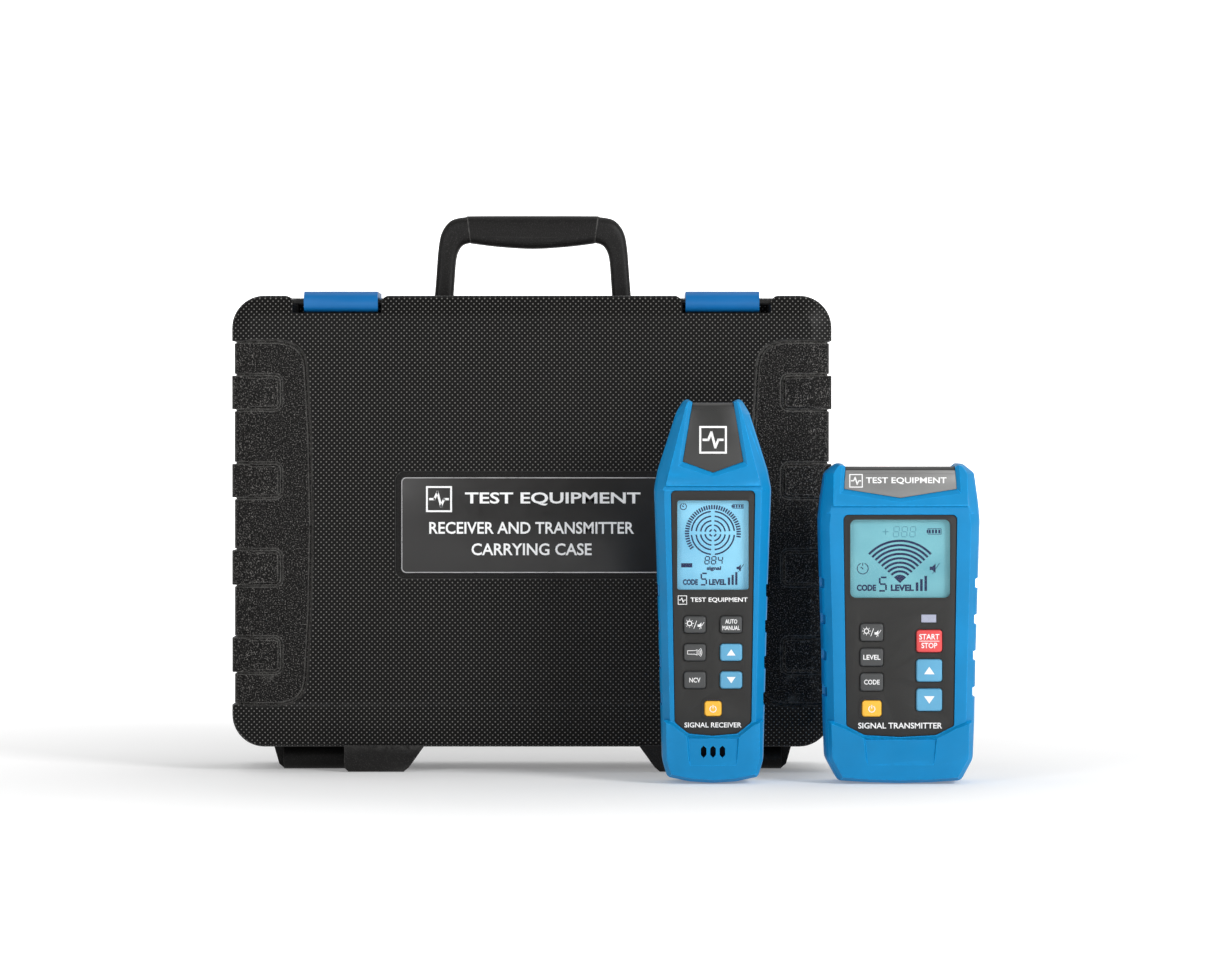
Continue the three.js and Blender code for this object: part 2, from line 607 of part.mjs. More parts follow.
// Everything that both tools have.
function buildTool(tool, x, faceHoles, frontCuts, capCuts) {
  const made = group(x, KIT.toolsY, 0);
  const part = (word) => `${tool.name}_${word}`;
  const { front, back } = covers(tool);
  const { window: w, board, mat } = tool;
  place(made, part('front_cover'), cutAll(front, frontCuts), 'toolBlue');
  place(made, part('back_cover'), back, 'toolBlue');
  place(made, part('nose_cap'), cutAll(capSolid(tool, 0), capCuts), 'cap');
  place(made, part('faceplate'), faceplate(tool, faceHoles), 'panel');
  place(made, part('window'),
    prism(roundRect(-w.halfWidth, w.halfWidth, -w.halfHeight, w.halfHeight, w.corner, 3), 0, 1.5),
    'glass', w.x, STACK.plateFront + 0.3, w.z);
  place(made, part('display'),
    box(-w.halfWidth - 0.7, w.halfWidth + 0.7, 0, 3.6, -w.halfHeight - 0.7, w.halfHeight + 0.7),
    'display', w.x, STACK.flangeFront + 0.2, w.z);
  place(made, part('key_mat'),
    prism(roundRect(-mat.halfWidth, mat.halfWidth, mat.z0, mat.z1, 2, 2), STACK.matFront, STACK.matBack), 'rubber');
  place(made, part('circuit_board'),
    prism(roundRect(-board.halfWidth, board.halfWidth, board.z0, board.z1, 2, 2),
      STACK.boardFront, STACK.boardBack), 'board');
  place(made, part('battery'), battery(tool), 'battery');
  place(made, part('battery_door'), doorSolid(tool), 'toolBlue');
  place(made, part('door_screw'), doorScrew(tool), 'steel');
  for (const key of tool.keys) {
    place(made, `${tool.name}_key_${key.name}`, keyCap(key), key.colour, key.x, 0, key.z);
  }
  return made;
}

function buildReceiver() {
  const slots = SPEAKER_SLOTS.x.map((x) => {
    const { z, halfWidth: w, halfHeight: h } = SPEAKER_SLOTS;
    return prism([[x, z - h], [x + w, z - h + w], [x + w, z + h - w], [x, z + h], [x - w, z + h - w], [x - w, z - h + w]],
      -2, STACK.cavityFront + 1);
  });
  const torch = { y: 14, radius: 4 };
  const torchHole = rod('z', 210, 240, [0, torch.y], torch.radius + GAP);
  const made = buildTool(RECEIVER, KIT.receiverX, [], [...slots, torchHole], [torchHole]);
  place(made, 'receiver_torch_lens', rod('z', 218.5, RECEIVER.cap.top, [0, torch.y], torch.radius), 'glass');
  place(made, 'receiver_speaker', rod('y', 8.5, 13.5, [0, SPEAKER_SLOTS.z], 9.5, 24), 'rubber');
  place(made, 'receiver_ferrite_rod', rod('z', 180, 214, [0, 20], 3.2, 12), 'ferrite');
  place(made, 'receiver_antenna_coil',
    rod('z', 186, 206, [0, 20], 4.8).subtract(rod('z', 180, 214, [0, 20], 3.5, 12)), 'copper');
  return made;
}

function buildTransmitter() {
  const { spacing, radius, bore, boreDepth, bottom } = SOCKETS;
  const { cap } = TRANSMITTER;
  const y = TRANSMITTER.split;
  const holes = [-1, 1].map((side) => rod('z', bottom - 5, 200, [side * spacing / 2, y], radius + GAP));
  const lampHole = box(LAMP.x - LAMP.halfWidth - GAP, LAMP.x + LAMP.halfWidth + GAP, 0, 10,
    LAMP.z - LAMP.halfHeight - GAP, LAMP.z + LAMP.halfHeight + GAP);
  const made = buildTool(TRANSMITTER, KIT.transmitterX, [lampHole], [], holes);
  const socket = rod('z', bottom, cap.top, [0, 0], radius).subtract(rod('z', cap.top - boreDepth, 200, [0, 0], bore));
  place(made, 'transmitter_socket_signal', socket, 'socketRed', -spacing / 2, y, 0);
  place(made, 'transmitter_socket_ground', socket, 'socketBlack', spacing / 2, y, 0);
  place(made, 'transmitter_status_lamp',
    box(-LAMP.halfWidth, LAMP.halfWidth, 0, 2.4, -LAMP.halfHeight, LAMP.halfHeight),
    'lamp', LAMP.x, STACK.plateFront + 0.2, LAMP.z);
  place(made, 'transmitter_buzzer', rod('y', STACK.boardBack + GAP, 19, [-27, 110], 6.5, 20), 'rubber');
  return made;
}

const kit = new THREE.Group();
kit.add(buildCase(), buildReceiver(), buildTransmitter());

export default kit;
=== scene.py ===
"""Circuit breaker finder kit: carrying case, receiver and transmitter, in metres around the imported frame."""
import json
from math import atan2, copysign, cos, hypot, pi, radians, sin

import bmesh
import bpy
from mathutils import Matrix, Vector

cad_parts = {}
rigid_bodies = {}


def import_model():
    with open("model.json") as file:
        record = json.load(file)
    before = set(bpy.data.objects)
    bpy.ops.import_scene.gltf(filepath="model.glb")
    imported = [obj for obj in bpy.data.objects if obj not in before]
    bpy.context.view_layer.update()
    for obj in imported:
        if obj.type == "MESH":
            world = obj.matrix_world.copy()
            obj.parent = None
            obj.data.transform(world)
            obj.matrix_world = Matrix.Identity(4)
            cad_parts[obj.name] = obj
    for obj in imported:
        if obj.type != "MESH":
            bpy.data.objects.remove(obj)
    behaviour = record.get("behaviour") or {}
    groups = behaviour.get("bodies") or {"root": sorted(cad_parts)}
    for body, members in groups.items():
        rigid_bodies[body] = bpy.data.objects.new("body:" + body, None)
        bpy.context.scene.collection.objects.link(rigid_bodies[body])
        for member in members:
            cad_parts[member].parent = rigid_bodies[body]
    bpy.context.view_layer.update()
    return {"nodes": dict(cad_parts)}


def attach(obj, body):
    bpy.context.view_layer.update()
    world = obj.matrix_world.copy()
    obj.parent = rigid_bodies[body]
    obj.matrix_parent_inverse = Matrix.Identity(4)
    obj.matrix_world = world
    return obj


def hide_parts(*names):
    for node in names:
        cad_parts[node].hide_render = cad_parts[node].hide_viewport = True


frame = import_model()
MM = 0.001
GAP = 0.3

# Where each of the three stands, in millimetres.
CASE_AT = (-42.0, 34.0)
RECEIVER_AT = (67.5, -100.0)
TRANSMITTER_AT = (179.0, -100.0)

scene = bpy.context.scene
OBJECTS = bpy.data.objects
scene.view_settings.view_transform = "Standard"


def linked(name, data):
    made = OBJECTS.new(name, data)
    scene.collection.objects.link(made)
    return made


# ---- camera and light


def aimed(obj, at, towards):
    obj.location = at
    obj.rotation_euler = (Vector(towards) - Vector(at)).to_track_quat("-Z", "Y").to_euler()


camera_data = bpy.data.cameras.new("camera")
camera_data.sensor_width = 36
camera_data.lens = 135.7
camera = linked("camera", camera_data)
scene.camera = camera
aimed(camera, (0.0044, -2.82, 0.205), (0.0044, -0.004, 0.1778))


def area_light(name, at, towards, size, watts):
    data = bpy.data.lights.new(name, "AREA")
    data.shape = "RECTANGLE"
    data.size, data.size_y = size
    data.energy = watts
    aimed(linked(name, data), at, towards)


area_light("key_light", (1.75, -1.8, 1.15), (0, 0, 0.15), (0.9, 0.9), 46)
area_light("fill_light", (-1.3, -2.2, 1.0), (0, 0, 0.15), (0.7, 1.0), 17)
area_light("top_light", (0.0, 0.0, 2.0), (0, 0, 0), (1.6, 0.8), 6)

# The studio is bright behind the object and above it, and dimmer in front, so that black plastic stays black.
world = bpy.data.worlds.new("studio")
scene.world = world
world.use_nodes = True
sky = world.node_tree
towards = sky.nodes.new("ShaderNodeSeparateXYZ")
sky.links.new(sky.nodes.new("ShaderNodeTexCoord").outputs["Generated"], towards.inputs[0])
bright = sky.nodes.new("ShaderNodeMapRange")
bright.interpolation_type = "SMOOTHSTEP"
for key, value in (("From Min", -0.15), ("From Max", 0.6), ("To Min", 0.17), ("To Max", 1.0)):
    bright.inputs[key].default_value = value
sky.links.new(towards.outputs["Y"], bright.inputs["Value"])
sky.nodes["Background"].inputs["Color"].default_value = (1, 1, 1, 1)
sky.links.new(bright.outputs["Result"], sky.nodes["Background"].inputs["Strength"])

# ---- materials


class Shade:
    """A node material on one Principled shader, with object coordinates in millimetres."""

    def __init__(self, name, rough, metallic=0.0, specular=0.5, **sockets):
        self.material = bpy.data.materials.new(name)
        self.material.use_nodes = True
        self.tree = self.material.node_tree
        self.shader = self.tree.nodes["Principled BSDF"]
        sockets.update(Roughness=rough, Metallic=metallic, Specular_IOR_Level=specular)
        for key, value in sockets.items():
            self.shader.inputs[key.replace("_", " ")].default_value = value
        place = self.node("TexCoord").outputs["Object"]
        self.mm = self.node("VectorMath", {0: place, "Scale": 1 / MM}, operation="SCALE").outputs[0]
        self.normal = None

    def put(self, value, socket):
        if isinstance(value, bpy.types.NodeSocket):
            self.tree.links.new(value, socket)
        else:
            socket.default_value = value

    def node(self, kind, inputs=None, **settings):
        made = self.tree.nodes.new("ShaderNode" + kind)
        for key, value in settings.items():
            setattr(made, key, value)
        for key, value in (inputs or {}).items():
            self.put(value, made.inputs[key])
        return made

    def math(self, operation, a, b=0.0, c=0.0):
        return self.node("Math", {0: a, 1: b, 2: c}, operation=operation).outputs[0]

    def parts(self, vector):
        return self.node("SeparateXYZ", {0: vector}).outputs

    def noise(self, per_mm, detail=3.0, rough=0.55, stretch=None):
        at = self.mm
        if stretch:
            at = self.node("VectorMath", {0: at, 1: stretch}, operation="MULTIPLY").outputs[0]
        inputs = {"Vector": at, "Scale": per_mm, "Detail": detail, "Roughness": rough}
        return self.node("TexNoise", inputs).outputs["Fac"]

    def bump(self, height, depth_mm):
        inputs = {"Distance": depth_mm * MM, "Strength": 1.0, "Height": height}
        if self.normal:
            inputs["Normal"] = self.normal
        self.normal = self.node("Bump", inputs).outputs["Normal"]
        self.put(self.normal, self.shader.inputs["Normal"])

    def ramp(self, value, low, high, to_low=0.0, to_high=1.0):
        inputs = {"Value": value, "From Min": low, "From Max": high, "To Min": to_low, "To Max": to_high}
        return self.node("MapRange", inputs).outputs["Result"]

    def mix(self, amount, a, b):
        a, b = ((*colour, 1) if isinstance(colour, tuple) else colour for colour in (a, b))
        return self.node("Mix", {0: amount, 6: a, 7: b}, data_type="RGBA").outputs[2]

    def cloudy(self, per_mm, detail, a, b):
        """One colour drifting into another."""
        return self.mix(self.ramp(self.noise(per_mm, detail), 0.3, 0.7), a, b)

    def colour(self, value):
        self.put(value, self.shader.inputs["Base Color"])

    def roughness(self, value, low, high):
        self.put(self.ramp(value, 0.3, 0.7, low, high), self.shader.inputs["Roughness"])

    def edge_highlight(self, base, edge, amount=1.0, reach_mm=0.6):
        """A painted highlight: a thin line along edges that stick out goes towards the edge colour, broken up by
        noise.
        """
        here = self.node("NewGeometry").outputs
        bevel = self.node("Bevel", {"Radius": reach_mm * MM}, samples=4).outputs["Normal"]
        same = self.node("VectorMath", {0: bevel, 1: here["True Normal"]}, operation="DOT_PRODUCT")
        bent = self.ramp(self.math("SUBTRACT", 1.0, same.outputs["Value"]), 0.006, 0.06)
        at_edge = self.math("MULTIPLY", bent, self.ramp(here["Pointiness"], 0.5, 0.52))
        broken = self.math("MULTIPLY", at_edge, self.ramp(self.noise(0.4), 0.25, 0.6))
        return self.mix(self.math("MULTIPLY", broken, amount), base, edge)


def tint(colour, k):
    return tuple(min(1.0, c * k) for c in colour)


def moulded(name, colour, rough=0.42, grain=0.03, per_mm=3.0, edge=1.35, highlight_amount=0.5, **sockets):
    """Fine-grained moulded plastic."""
    s = Shade(name, rough, **sockets)
    base = s.cloudy(0.035, 4, tint(colour, 0.92), tint(colour, 1.06))
    # Edges that stick out get a painted highlight in a lighter tint of the colour.
    s.colour(s.edge_highlight(base, tint(colour, edge), highlight_amount))
    s.roughness(s.noise(0.12, 3), rough - 0.05, rough + 0.07)
    s.bump(s.noise(per_mm, 2), grain)
    return s.material


def knurled(name, colour, dot=(0.2, 0.195, 0.185), pitch=1.65):
    """Black plastic with staggered rows of small raised dots, laid out on each side by the way it faces."""
    s = Shade(name, 0.45, specular=0.13)
    x, y, z = s.parts(s.mm)
    facing = s.parts(s.node("TexCoord").outputs["Normal"])
    to_side, _, to_top = (s.math("GREATER_THAN", s.math("ABSOLUTE", part), 0.75) for part in facing)
    waves = []
    for along, turned in ((x, to_side), (z, to_top)):
        place = s.math("ADD", along, s.math("MULTIPLY", turned, s.math("SUBTRACT", y, along)))
        waves.append(s.math("COSINE", s.math("MULTIPLY", place, pi / pitch)))
    dots = s.ramp(s.math("MULTIPLY", *waves), 0.56, 0.88)
    base = s.cloudy(0.02, 4, tint(colour, 0.85), tint(colour, 1.15))
    # The dots take the lighter dot colour, a painted highlight on each raised dot; edges get a painted highlight too.
    s.colour(s.edge_highlight(s.mix(dots, base, dot), (0.06, 0.06, 0.06), 0.7))
    s.bump(dots, 0.35)
    s.bump(s.noise(2.2, 2), 0.03)
    return s.material


def grained(name, colour, depth=0.35, per_mm=0.75, rough=0.5, flecks=2.0, edge=(0.085, 0.083, 0.08),
            reach_mm=0.6, specular=0.15):
    """Black plastic with a coarse leathery grain."""
    s = Shade(name, rough, specular=specular)
    coarse = s.noise(per_mm, 3, 0.65)
    base = s.mix(s.ramp(coarse, 0.54, 0.66), tint(colour, 0.8), tint(colour, flecks))
    # Edges that stick out get a painted highlight in the lighter edge colour.
    s.colour(s.edge_highlight(base, edge, 0.9, reach_mm))
    s.bump(coarse, depth)
    s.bump(s.noise(3, 2), 0.03)
    return s.material


def metal(name, colour, rough=0.28):
    s = Shade(name, rough, 1.0)
    lines = s.noise(1.2, 2, stretch=(0.15, 1, 1))
    s.colour(s.mix(s.ramp(lines, 0.3, 0.7), tint(colour, 0.85), tint(colour, 1.1)))
    s.roughness(lines, rough - 0.06, rough + 0.1)
    s.bump(lines, 0.01)
    return s.material


def lit_panel(name, low, high, glow):
    """A lit liquid crystal panel, with its fine rows."""
    s = Shade(name, 0.35, Emission_Strength=glow)
    colour = s.cloudy(0.03, 2, low, high)
    s.colour(colour)
    s.put(colour, s.shader.inputs["Emission Color"])
    s.bump(s.node("TexWave", {"Scale": 1.2, "Vector": s.mm}).outputs["Fac"], 0.004)
    return s.material


def clear(name):
    """A clear window: see-through, with the gloss of a polished front."""
    s = Shade(name, 0.04, Base_Color=(0.05, 0.05, 0.05, 1), Alpha=0.07)
    s.roughness(s.noise(0.05, 2), 0.02, 0.07)
    s.bump(s.noise(0.02, 1), 0.01)
    return s.material


def ink(name, colour):
    s = Shade(name, 0.5)
    s.colour(s.cloudy(0.8, 2, tint(colour, 0.93), tint(colour, 1.03)))
    s.bump(s.noise(4, 2), 0.005)
    return s.material


CASE_BLACK = (0.0045, 0.0043, 0.0041)
# By name, without the number that Blender adds to a name the frame has too.
M = {made.name.split(".")[0]: made for made in (
    knurled("case_knurled", CASE_BLACK),
    # The edge colour here is a wide painted highlight along the rib edges.
    grained("case_grained", CASE_BLACK, 0.6, 1.2, 0.45, 38.0, (0.14, 0.137, 0.13), 1.1, 0.1),
    grained("case_plain", (0.0115, 0.011, 0.0107), 0.12, 1.6, 0.42, 2.6),
    grained("case_lining", (0.02, 0.02, 0.02), 0.1, 1.2, 0.6),
    moulded("latch_blue", (0.003, 0.125, 0.36), 0.36, 0.02, specular=0.3),
    moulded("label_gloss", (0.018, 0.017, 0.0165), 0.34, 0.004, edge=1.0, specular=0.35,
            Coat_Weight=0.15, Coat_Roughness=0.25),
    metal("label_border", (0.5, 0.5, 0.51), 0.32),
    metal("steel", (0.55, 0.56, 0.57)),
    # A strong painted highlight along its edges.
    moulded("tool_blue", (0.001, 0.215, 0.485), 0.4, edge=1.7, highlight_amount=1.0, specular=0.28),
    moulded("cap_grey", (0.036, 0.036, 0.035), 0.34, 0.012, edge=1.0, specular=0.4),
    # The cap's dark plastic painted pale: a painted reflection on the transmitter cap's front.
    moulded("cap_pale", (0.2, 0.2, 0.196), 0.34, 0.012, edge=1.0),
    moulded("panel_black", (0.029, 0.0285, 0.0275), 0.46, edge=1.0, specular=0.25),
    clear("clear_window"),
    lit_panel("lcd_receiver", (0.16, 0.46, 0.68), (0.25, 0.60, 0.80), 0.3),
    lit_panel("lcd_transmitter", (0.12, 0.36, 0.44), (0.20, 0.51, 0.57), 0.25),
    ink("lcd_ink", (0.006, 0.018, 0.09)),
    ink("lcd_ghost", (0.12, 0.36, 0.46)),
    ink("white_ink", (0.88, 0.88, 0.88)),
    moulded("grey_key", (0.055, 0.057, 0.058), 0.5, 0.02),
    moulded("sky_key", (0.11, 0.37, 0.58), 0.45, 0.02),
    moulded("yellow_key", (1.0, 0.5, 0.045), 0.45, 0.02, edge=1.1),
    moulded("red_key", (0.74, 0.07, 0.072), 0.45, 0.02),
    moulded("rubber", (0.012, 0.012, 0.012), 0.75, 0.05),
    moulded("circuit_board", (0.012, 0.11, 0.04), 0.4, 0.03, per_mm=1.2),
    moulded("battery_wrap", (0.02, 0.024, 0.03), 0.3, 0.01),
    grained("ferrite", (0.03, 0.028, 0.028), 0.05, 1.5, 0.6),
    metal("copper_wire", (0.62, 0.22, 0.07), 0.3),
    moulded("lamp", (0.37, 0.39, 0.5), 0.25, 0.01),
    moulded("socket_red", (0.55, 0.02, 0.024), 0.3, 0.01),
    moulded("socket_black", (0.009, 0.009, 0.009), 0.3, 0.01),
)}


def staged(name, mesh, shade):
    mesh.materials.append(shade.material)
    obj = linked(name, mesh)
    return obj


# The floor glows a little more with distance, so that it meets the backdrop without an edge.
ground = Shade("studio_floor", 0.8, specular=0.1, Emission_Color=(1, 1, 1, 1))
ground.colour(ground.cloudy(0.002, 2, (0.8, 0.8, 0.8), (0.84, 0.84, 0.84)))
from_middle = ground.node("VectorMath", {0: ground.mm}, operation="LENGTH").outputs["Value"]
glow = ground.math("MULTIPLY_ADD", ground.ramp(from_middle, 250, 1500), 0.9, 0.2)
ground.put(glow, ground.shader.inputs["Emission Strength"])
floor_mesh = bpy.data.meshes.new("studio_floor")
floor_mesh.from_pydata([(-6, -6, 0), (6, -6, 0), (6, 6, 0), (-6, 6, 0)], [], [(0, 1, 2, 3)])
staged("studio_floor", floor_mesh, ground)

# A white wall round the studio, seen by the camera only, so that it adds no light of its own.
wall_mesh = bpy.data.meshes.new("studio_wall")
wall_form = bmesh.new()
bmesh.ops.create_uvsphere(wall_form, u_segments=48, v_segments=24, radius=5.6)
wall_form.to_mesh(wall_mesh)
wall_form.free()
wall = staged("studio_wall", wall_mesh, Shade("studio_wall", 1.0, Emission_Color=(1, 1, 1, 1), Emission_Strength=1.0))
wall.visible_diffuse = wall.visible_glossy = wall.visible_transmission = False
wall.visible_volume_scatter = wall.visible_shadow = False

# ---- outlines, in millimetres


def round_rect(x0, x1, z0, z1, radius, steps=8):
    points = []
    for cx, cz, start in ((x1 - radius, z0 + radius, -90), (x1 - radius, z1 - radius, 0),
                          (x0 + radius, z1 - radius, 90), (x0 + radius, z0 + radius, 180)):
        for i in range(steps + 1):
            a = radians(start + 90 * i / steps)
            points.append((cx + radius * cos(a), cz + radius * sin(a)))
    return points


def mirrored(half):
    return list(half) + [(-x, z) for x, z in reversed(half) if x != 0]


def shrink(points, d):
    xs, zs = zip(*points)
    cx, cz = (min(xs) + max(xs)) / 2, (min(zs) + max(zs)) / 2
    kx, kz = 1 - 2 * d / (max(xs) - min(xs)), 1 - 2 * d / (max(zs) - min(zs))
    return [(cx + (x - cx) * kx, cz + (z - cz) * kz) for x, z in points]


def inset(points, d):
    made, n = [], len(points)
    for i, (x, z) in enumerate(points):
        p, q = Vector(points[i - 1]), Vector(points[(i + 1) % n])
        here = Vector((x, z))
        a, b = (here - p).normalized(), (q - here).normalized()
        na, nb = Vector((-a.y, a.x)), Vector((-b.y, b.x))
        normal = (na + nb).normalized()
        made.append(tuple(here + normal * (d / max(0.5, normal.dot(na)))))
    return made


def soften(points, radius, steps=4):
    """Each corner of an outline rounded, by no more than its sides have room for."""
    made, n = [], len(points)
    for i in range(n):
        p, c, q = Vector(points[i - 1]), Vector(points[i]), Vector(points[(i + 1) % n])
        a, b = p - c, q - c
        reach = min(radius, a.length * 0.45, b.length * 0.45)
        start, end = c + a.normalized() * reach, c + b.normalized() * reach
        for k in range(steps + 1):
            t = k / steps
            made.append(tuple(start * (1 - t) ** 2 + c * 2 * t * (1 - t) + end * t * t))
    return made


# ---- solids, in millimetres


def skinned(rings):
    """A closed solid through rings of points, all with the same number of them."""
    bm = bmesh.new()
    rings = [[bm.verts.new(point) for point in ring] for ring in rings]
    n = len(rings[0])
    for a, b in zip(rings, rings[1:]):
        for i in range(n):
            j = (i + 1) % n
            bm.faces.new((a[i], a[j], b[j], b[i]))
    bm.faces.new(list(reversed(rings[0])))
    bm.faces.new(rings[-1])
    bmesh.ops.recalc_face_normals(bm, faces=bm.faces)
    return finished(bm)


def loft(rows):
    """rows are (y, outline), front to back."""
    return skinned([[(x, y, z) for x, z in points] for y, points in rows])


def finished(bm):
    mesh = bpy.data.meshes.new("solid")
    bm.to_mesh(mesh)
    bm.free()
    return mesh


def prism(points, y0, y1):
    return loft([(y0, points), (y1, points)])


def block(x0, x1, y0, y1, z0, z1):
    return prism([(x0, z0), (x1, z0), (x1, z1), (x0, z1)], y0, y1)


def rod(axis, a, b, centre, radius, sides=40):
    ring = [(radius * cos(2 * pi * i / sides), radius * sin(2 * pi * i / sides))
            for i in range(sides)]
    mesh = prism(ring, a, b)
    if axis == "x":
        mesh.transform(Matrix.Translation((0, centre[0], centre[1])) @ Matrix.Rotation(-pi / 2, 4, "Z"))
    elif axis == "y":
        mesh.transform(Matrix.Translation((centre[0], 0, centre[1])))
    else:
        mesh.transform(Matrix.Translation((centre[0], centre[1], 0)) @ Matrix.Rotation(pi / 2, 4, "X"))
    return mesh


def evaluated(obj):
    bpy.context.view_layer.update()
    graph = bpy.context.evaluated_depsgraph_get()
    mesh = bpy.data.meshes.new_from_object(obj.evaluated_get(graph))
    OBJECTS.remove(obj)
    return mesh


def shaped(mesh, *steps):
    """Joins, cuts and overlaps, in order: ("+", solid), ("-", solid) and ("&", solid)."""
    for sign, other in steps:
        base, tool = linked("base", mesh), linked("tool", other)
        mod = base.modifiers.new("join", "BOOLEAN")
        mod.operation = {"+": "UNION", "-": "DIFFERENCE", "&": "INTERSECT"}[sign]
        mod.solver = "MANIFOLD"
        mod.object = tool
        mesh = evaluated(base)
        OBJECTS.remove(tool)
    return mesh


def cuts(solids):
    return [("-", solid) for solid in solids]


def eased(mesh, width, segments=2, angle=28):
    """Edges sharper than angle are rounded off."""
    bm = bmesh.new()
    bm.from_mesh(mesh)
    bmesh.ops.remove_doubles(bm, verts=bm.verts, dist=0.002)
    bmesh.ops.dissolve_limit(bm, angle_limit=radians(0.6), verts=bm.verts, edges=bm.edges)
    bm.to_mesh(mesh)
    bm.free()
    obj = linked("eased", mesh)
    mod = obj.modifiers.new("bevel", "BEVEL")
    mod.width, mod.segments = width, segments
    mod.limit_method, mod.angle_limit = "ANGLE", radians(angle)
    mod.miter_outer = "MITER_ARC"
    return evaluated(obj)


def piece(name, mesh, at, body, material, replaces=(), slot=None, paint=None, smooth=32):
    """A finished mesh in millimetres about at, put on a body. paint picks a second material for some faces."""
    x, y, z = at if len(at) > 2 else (*at, 0)
    mesh.transform(Matrix.Scale(MM, 4) @ Matrix.Translation((x, y, z)))
    mesh.name = name
    mesh.materials.clear()
    for key in [material] if isinstance(material, str) else material:
        mesh.materials.append(M[key])
    mesh.shade_smooth()
    mesh.set_sharp_from_angle(angle=radians(smooth))
    for face in mesh.polygons:
        face.material_index = paint(face.center / MM - Vector((x, y, 0))) if paint else 0
    obj = linked(name, mesh)
    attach(obj, body)
    if replaces:
        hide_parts(*replaces)
    return obj


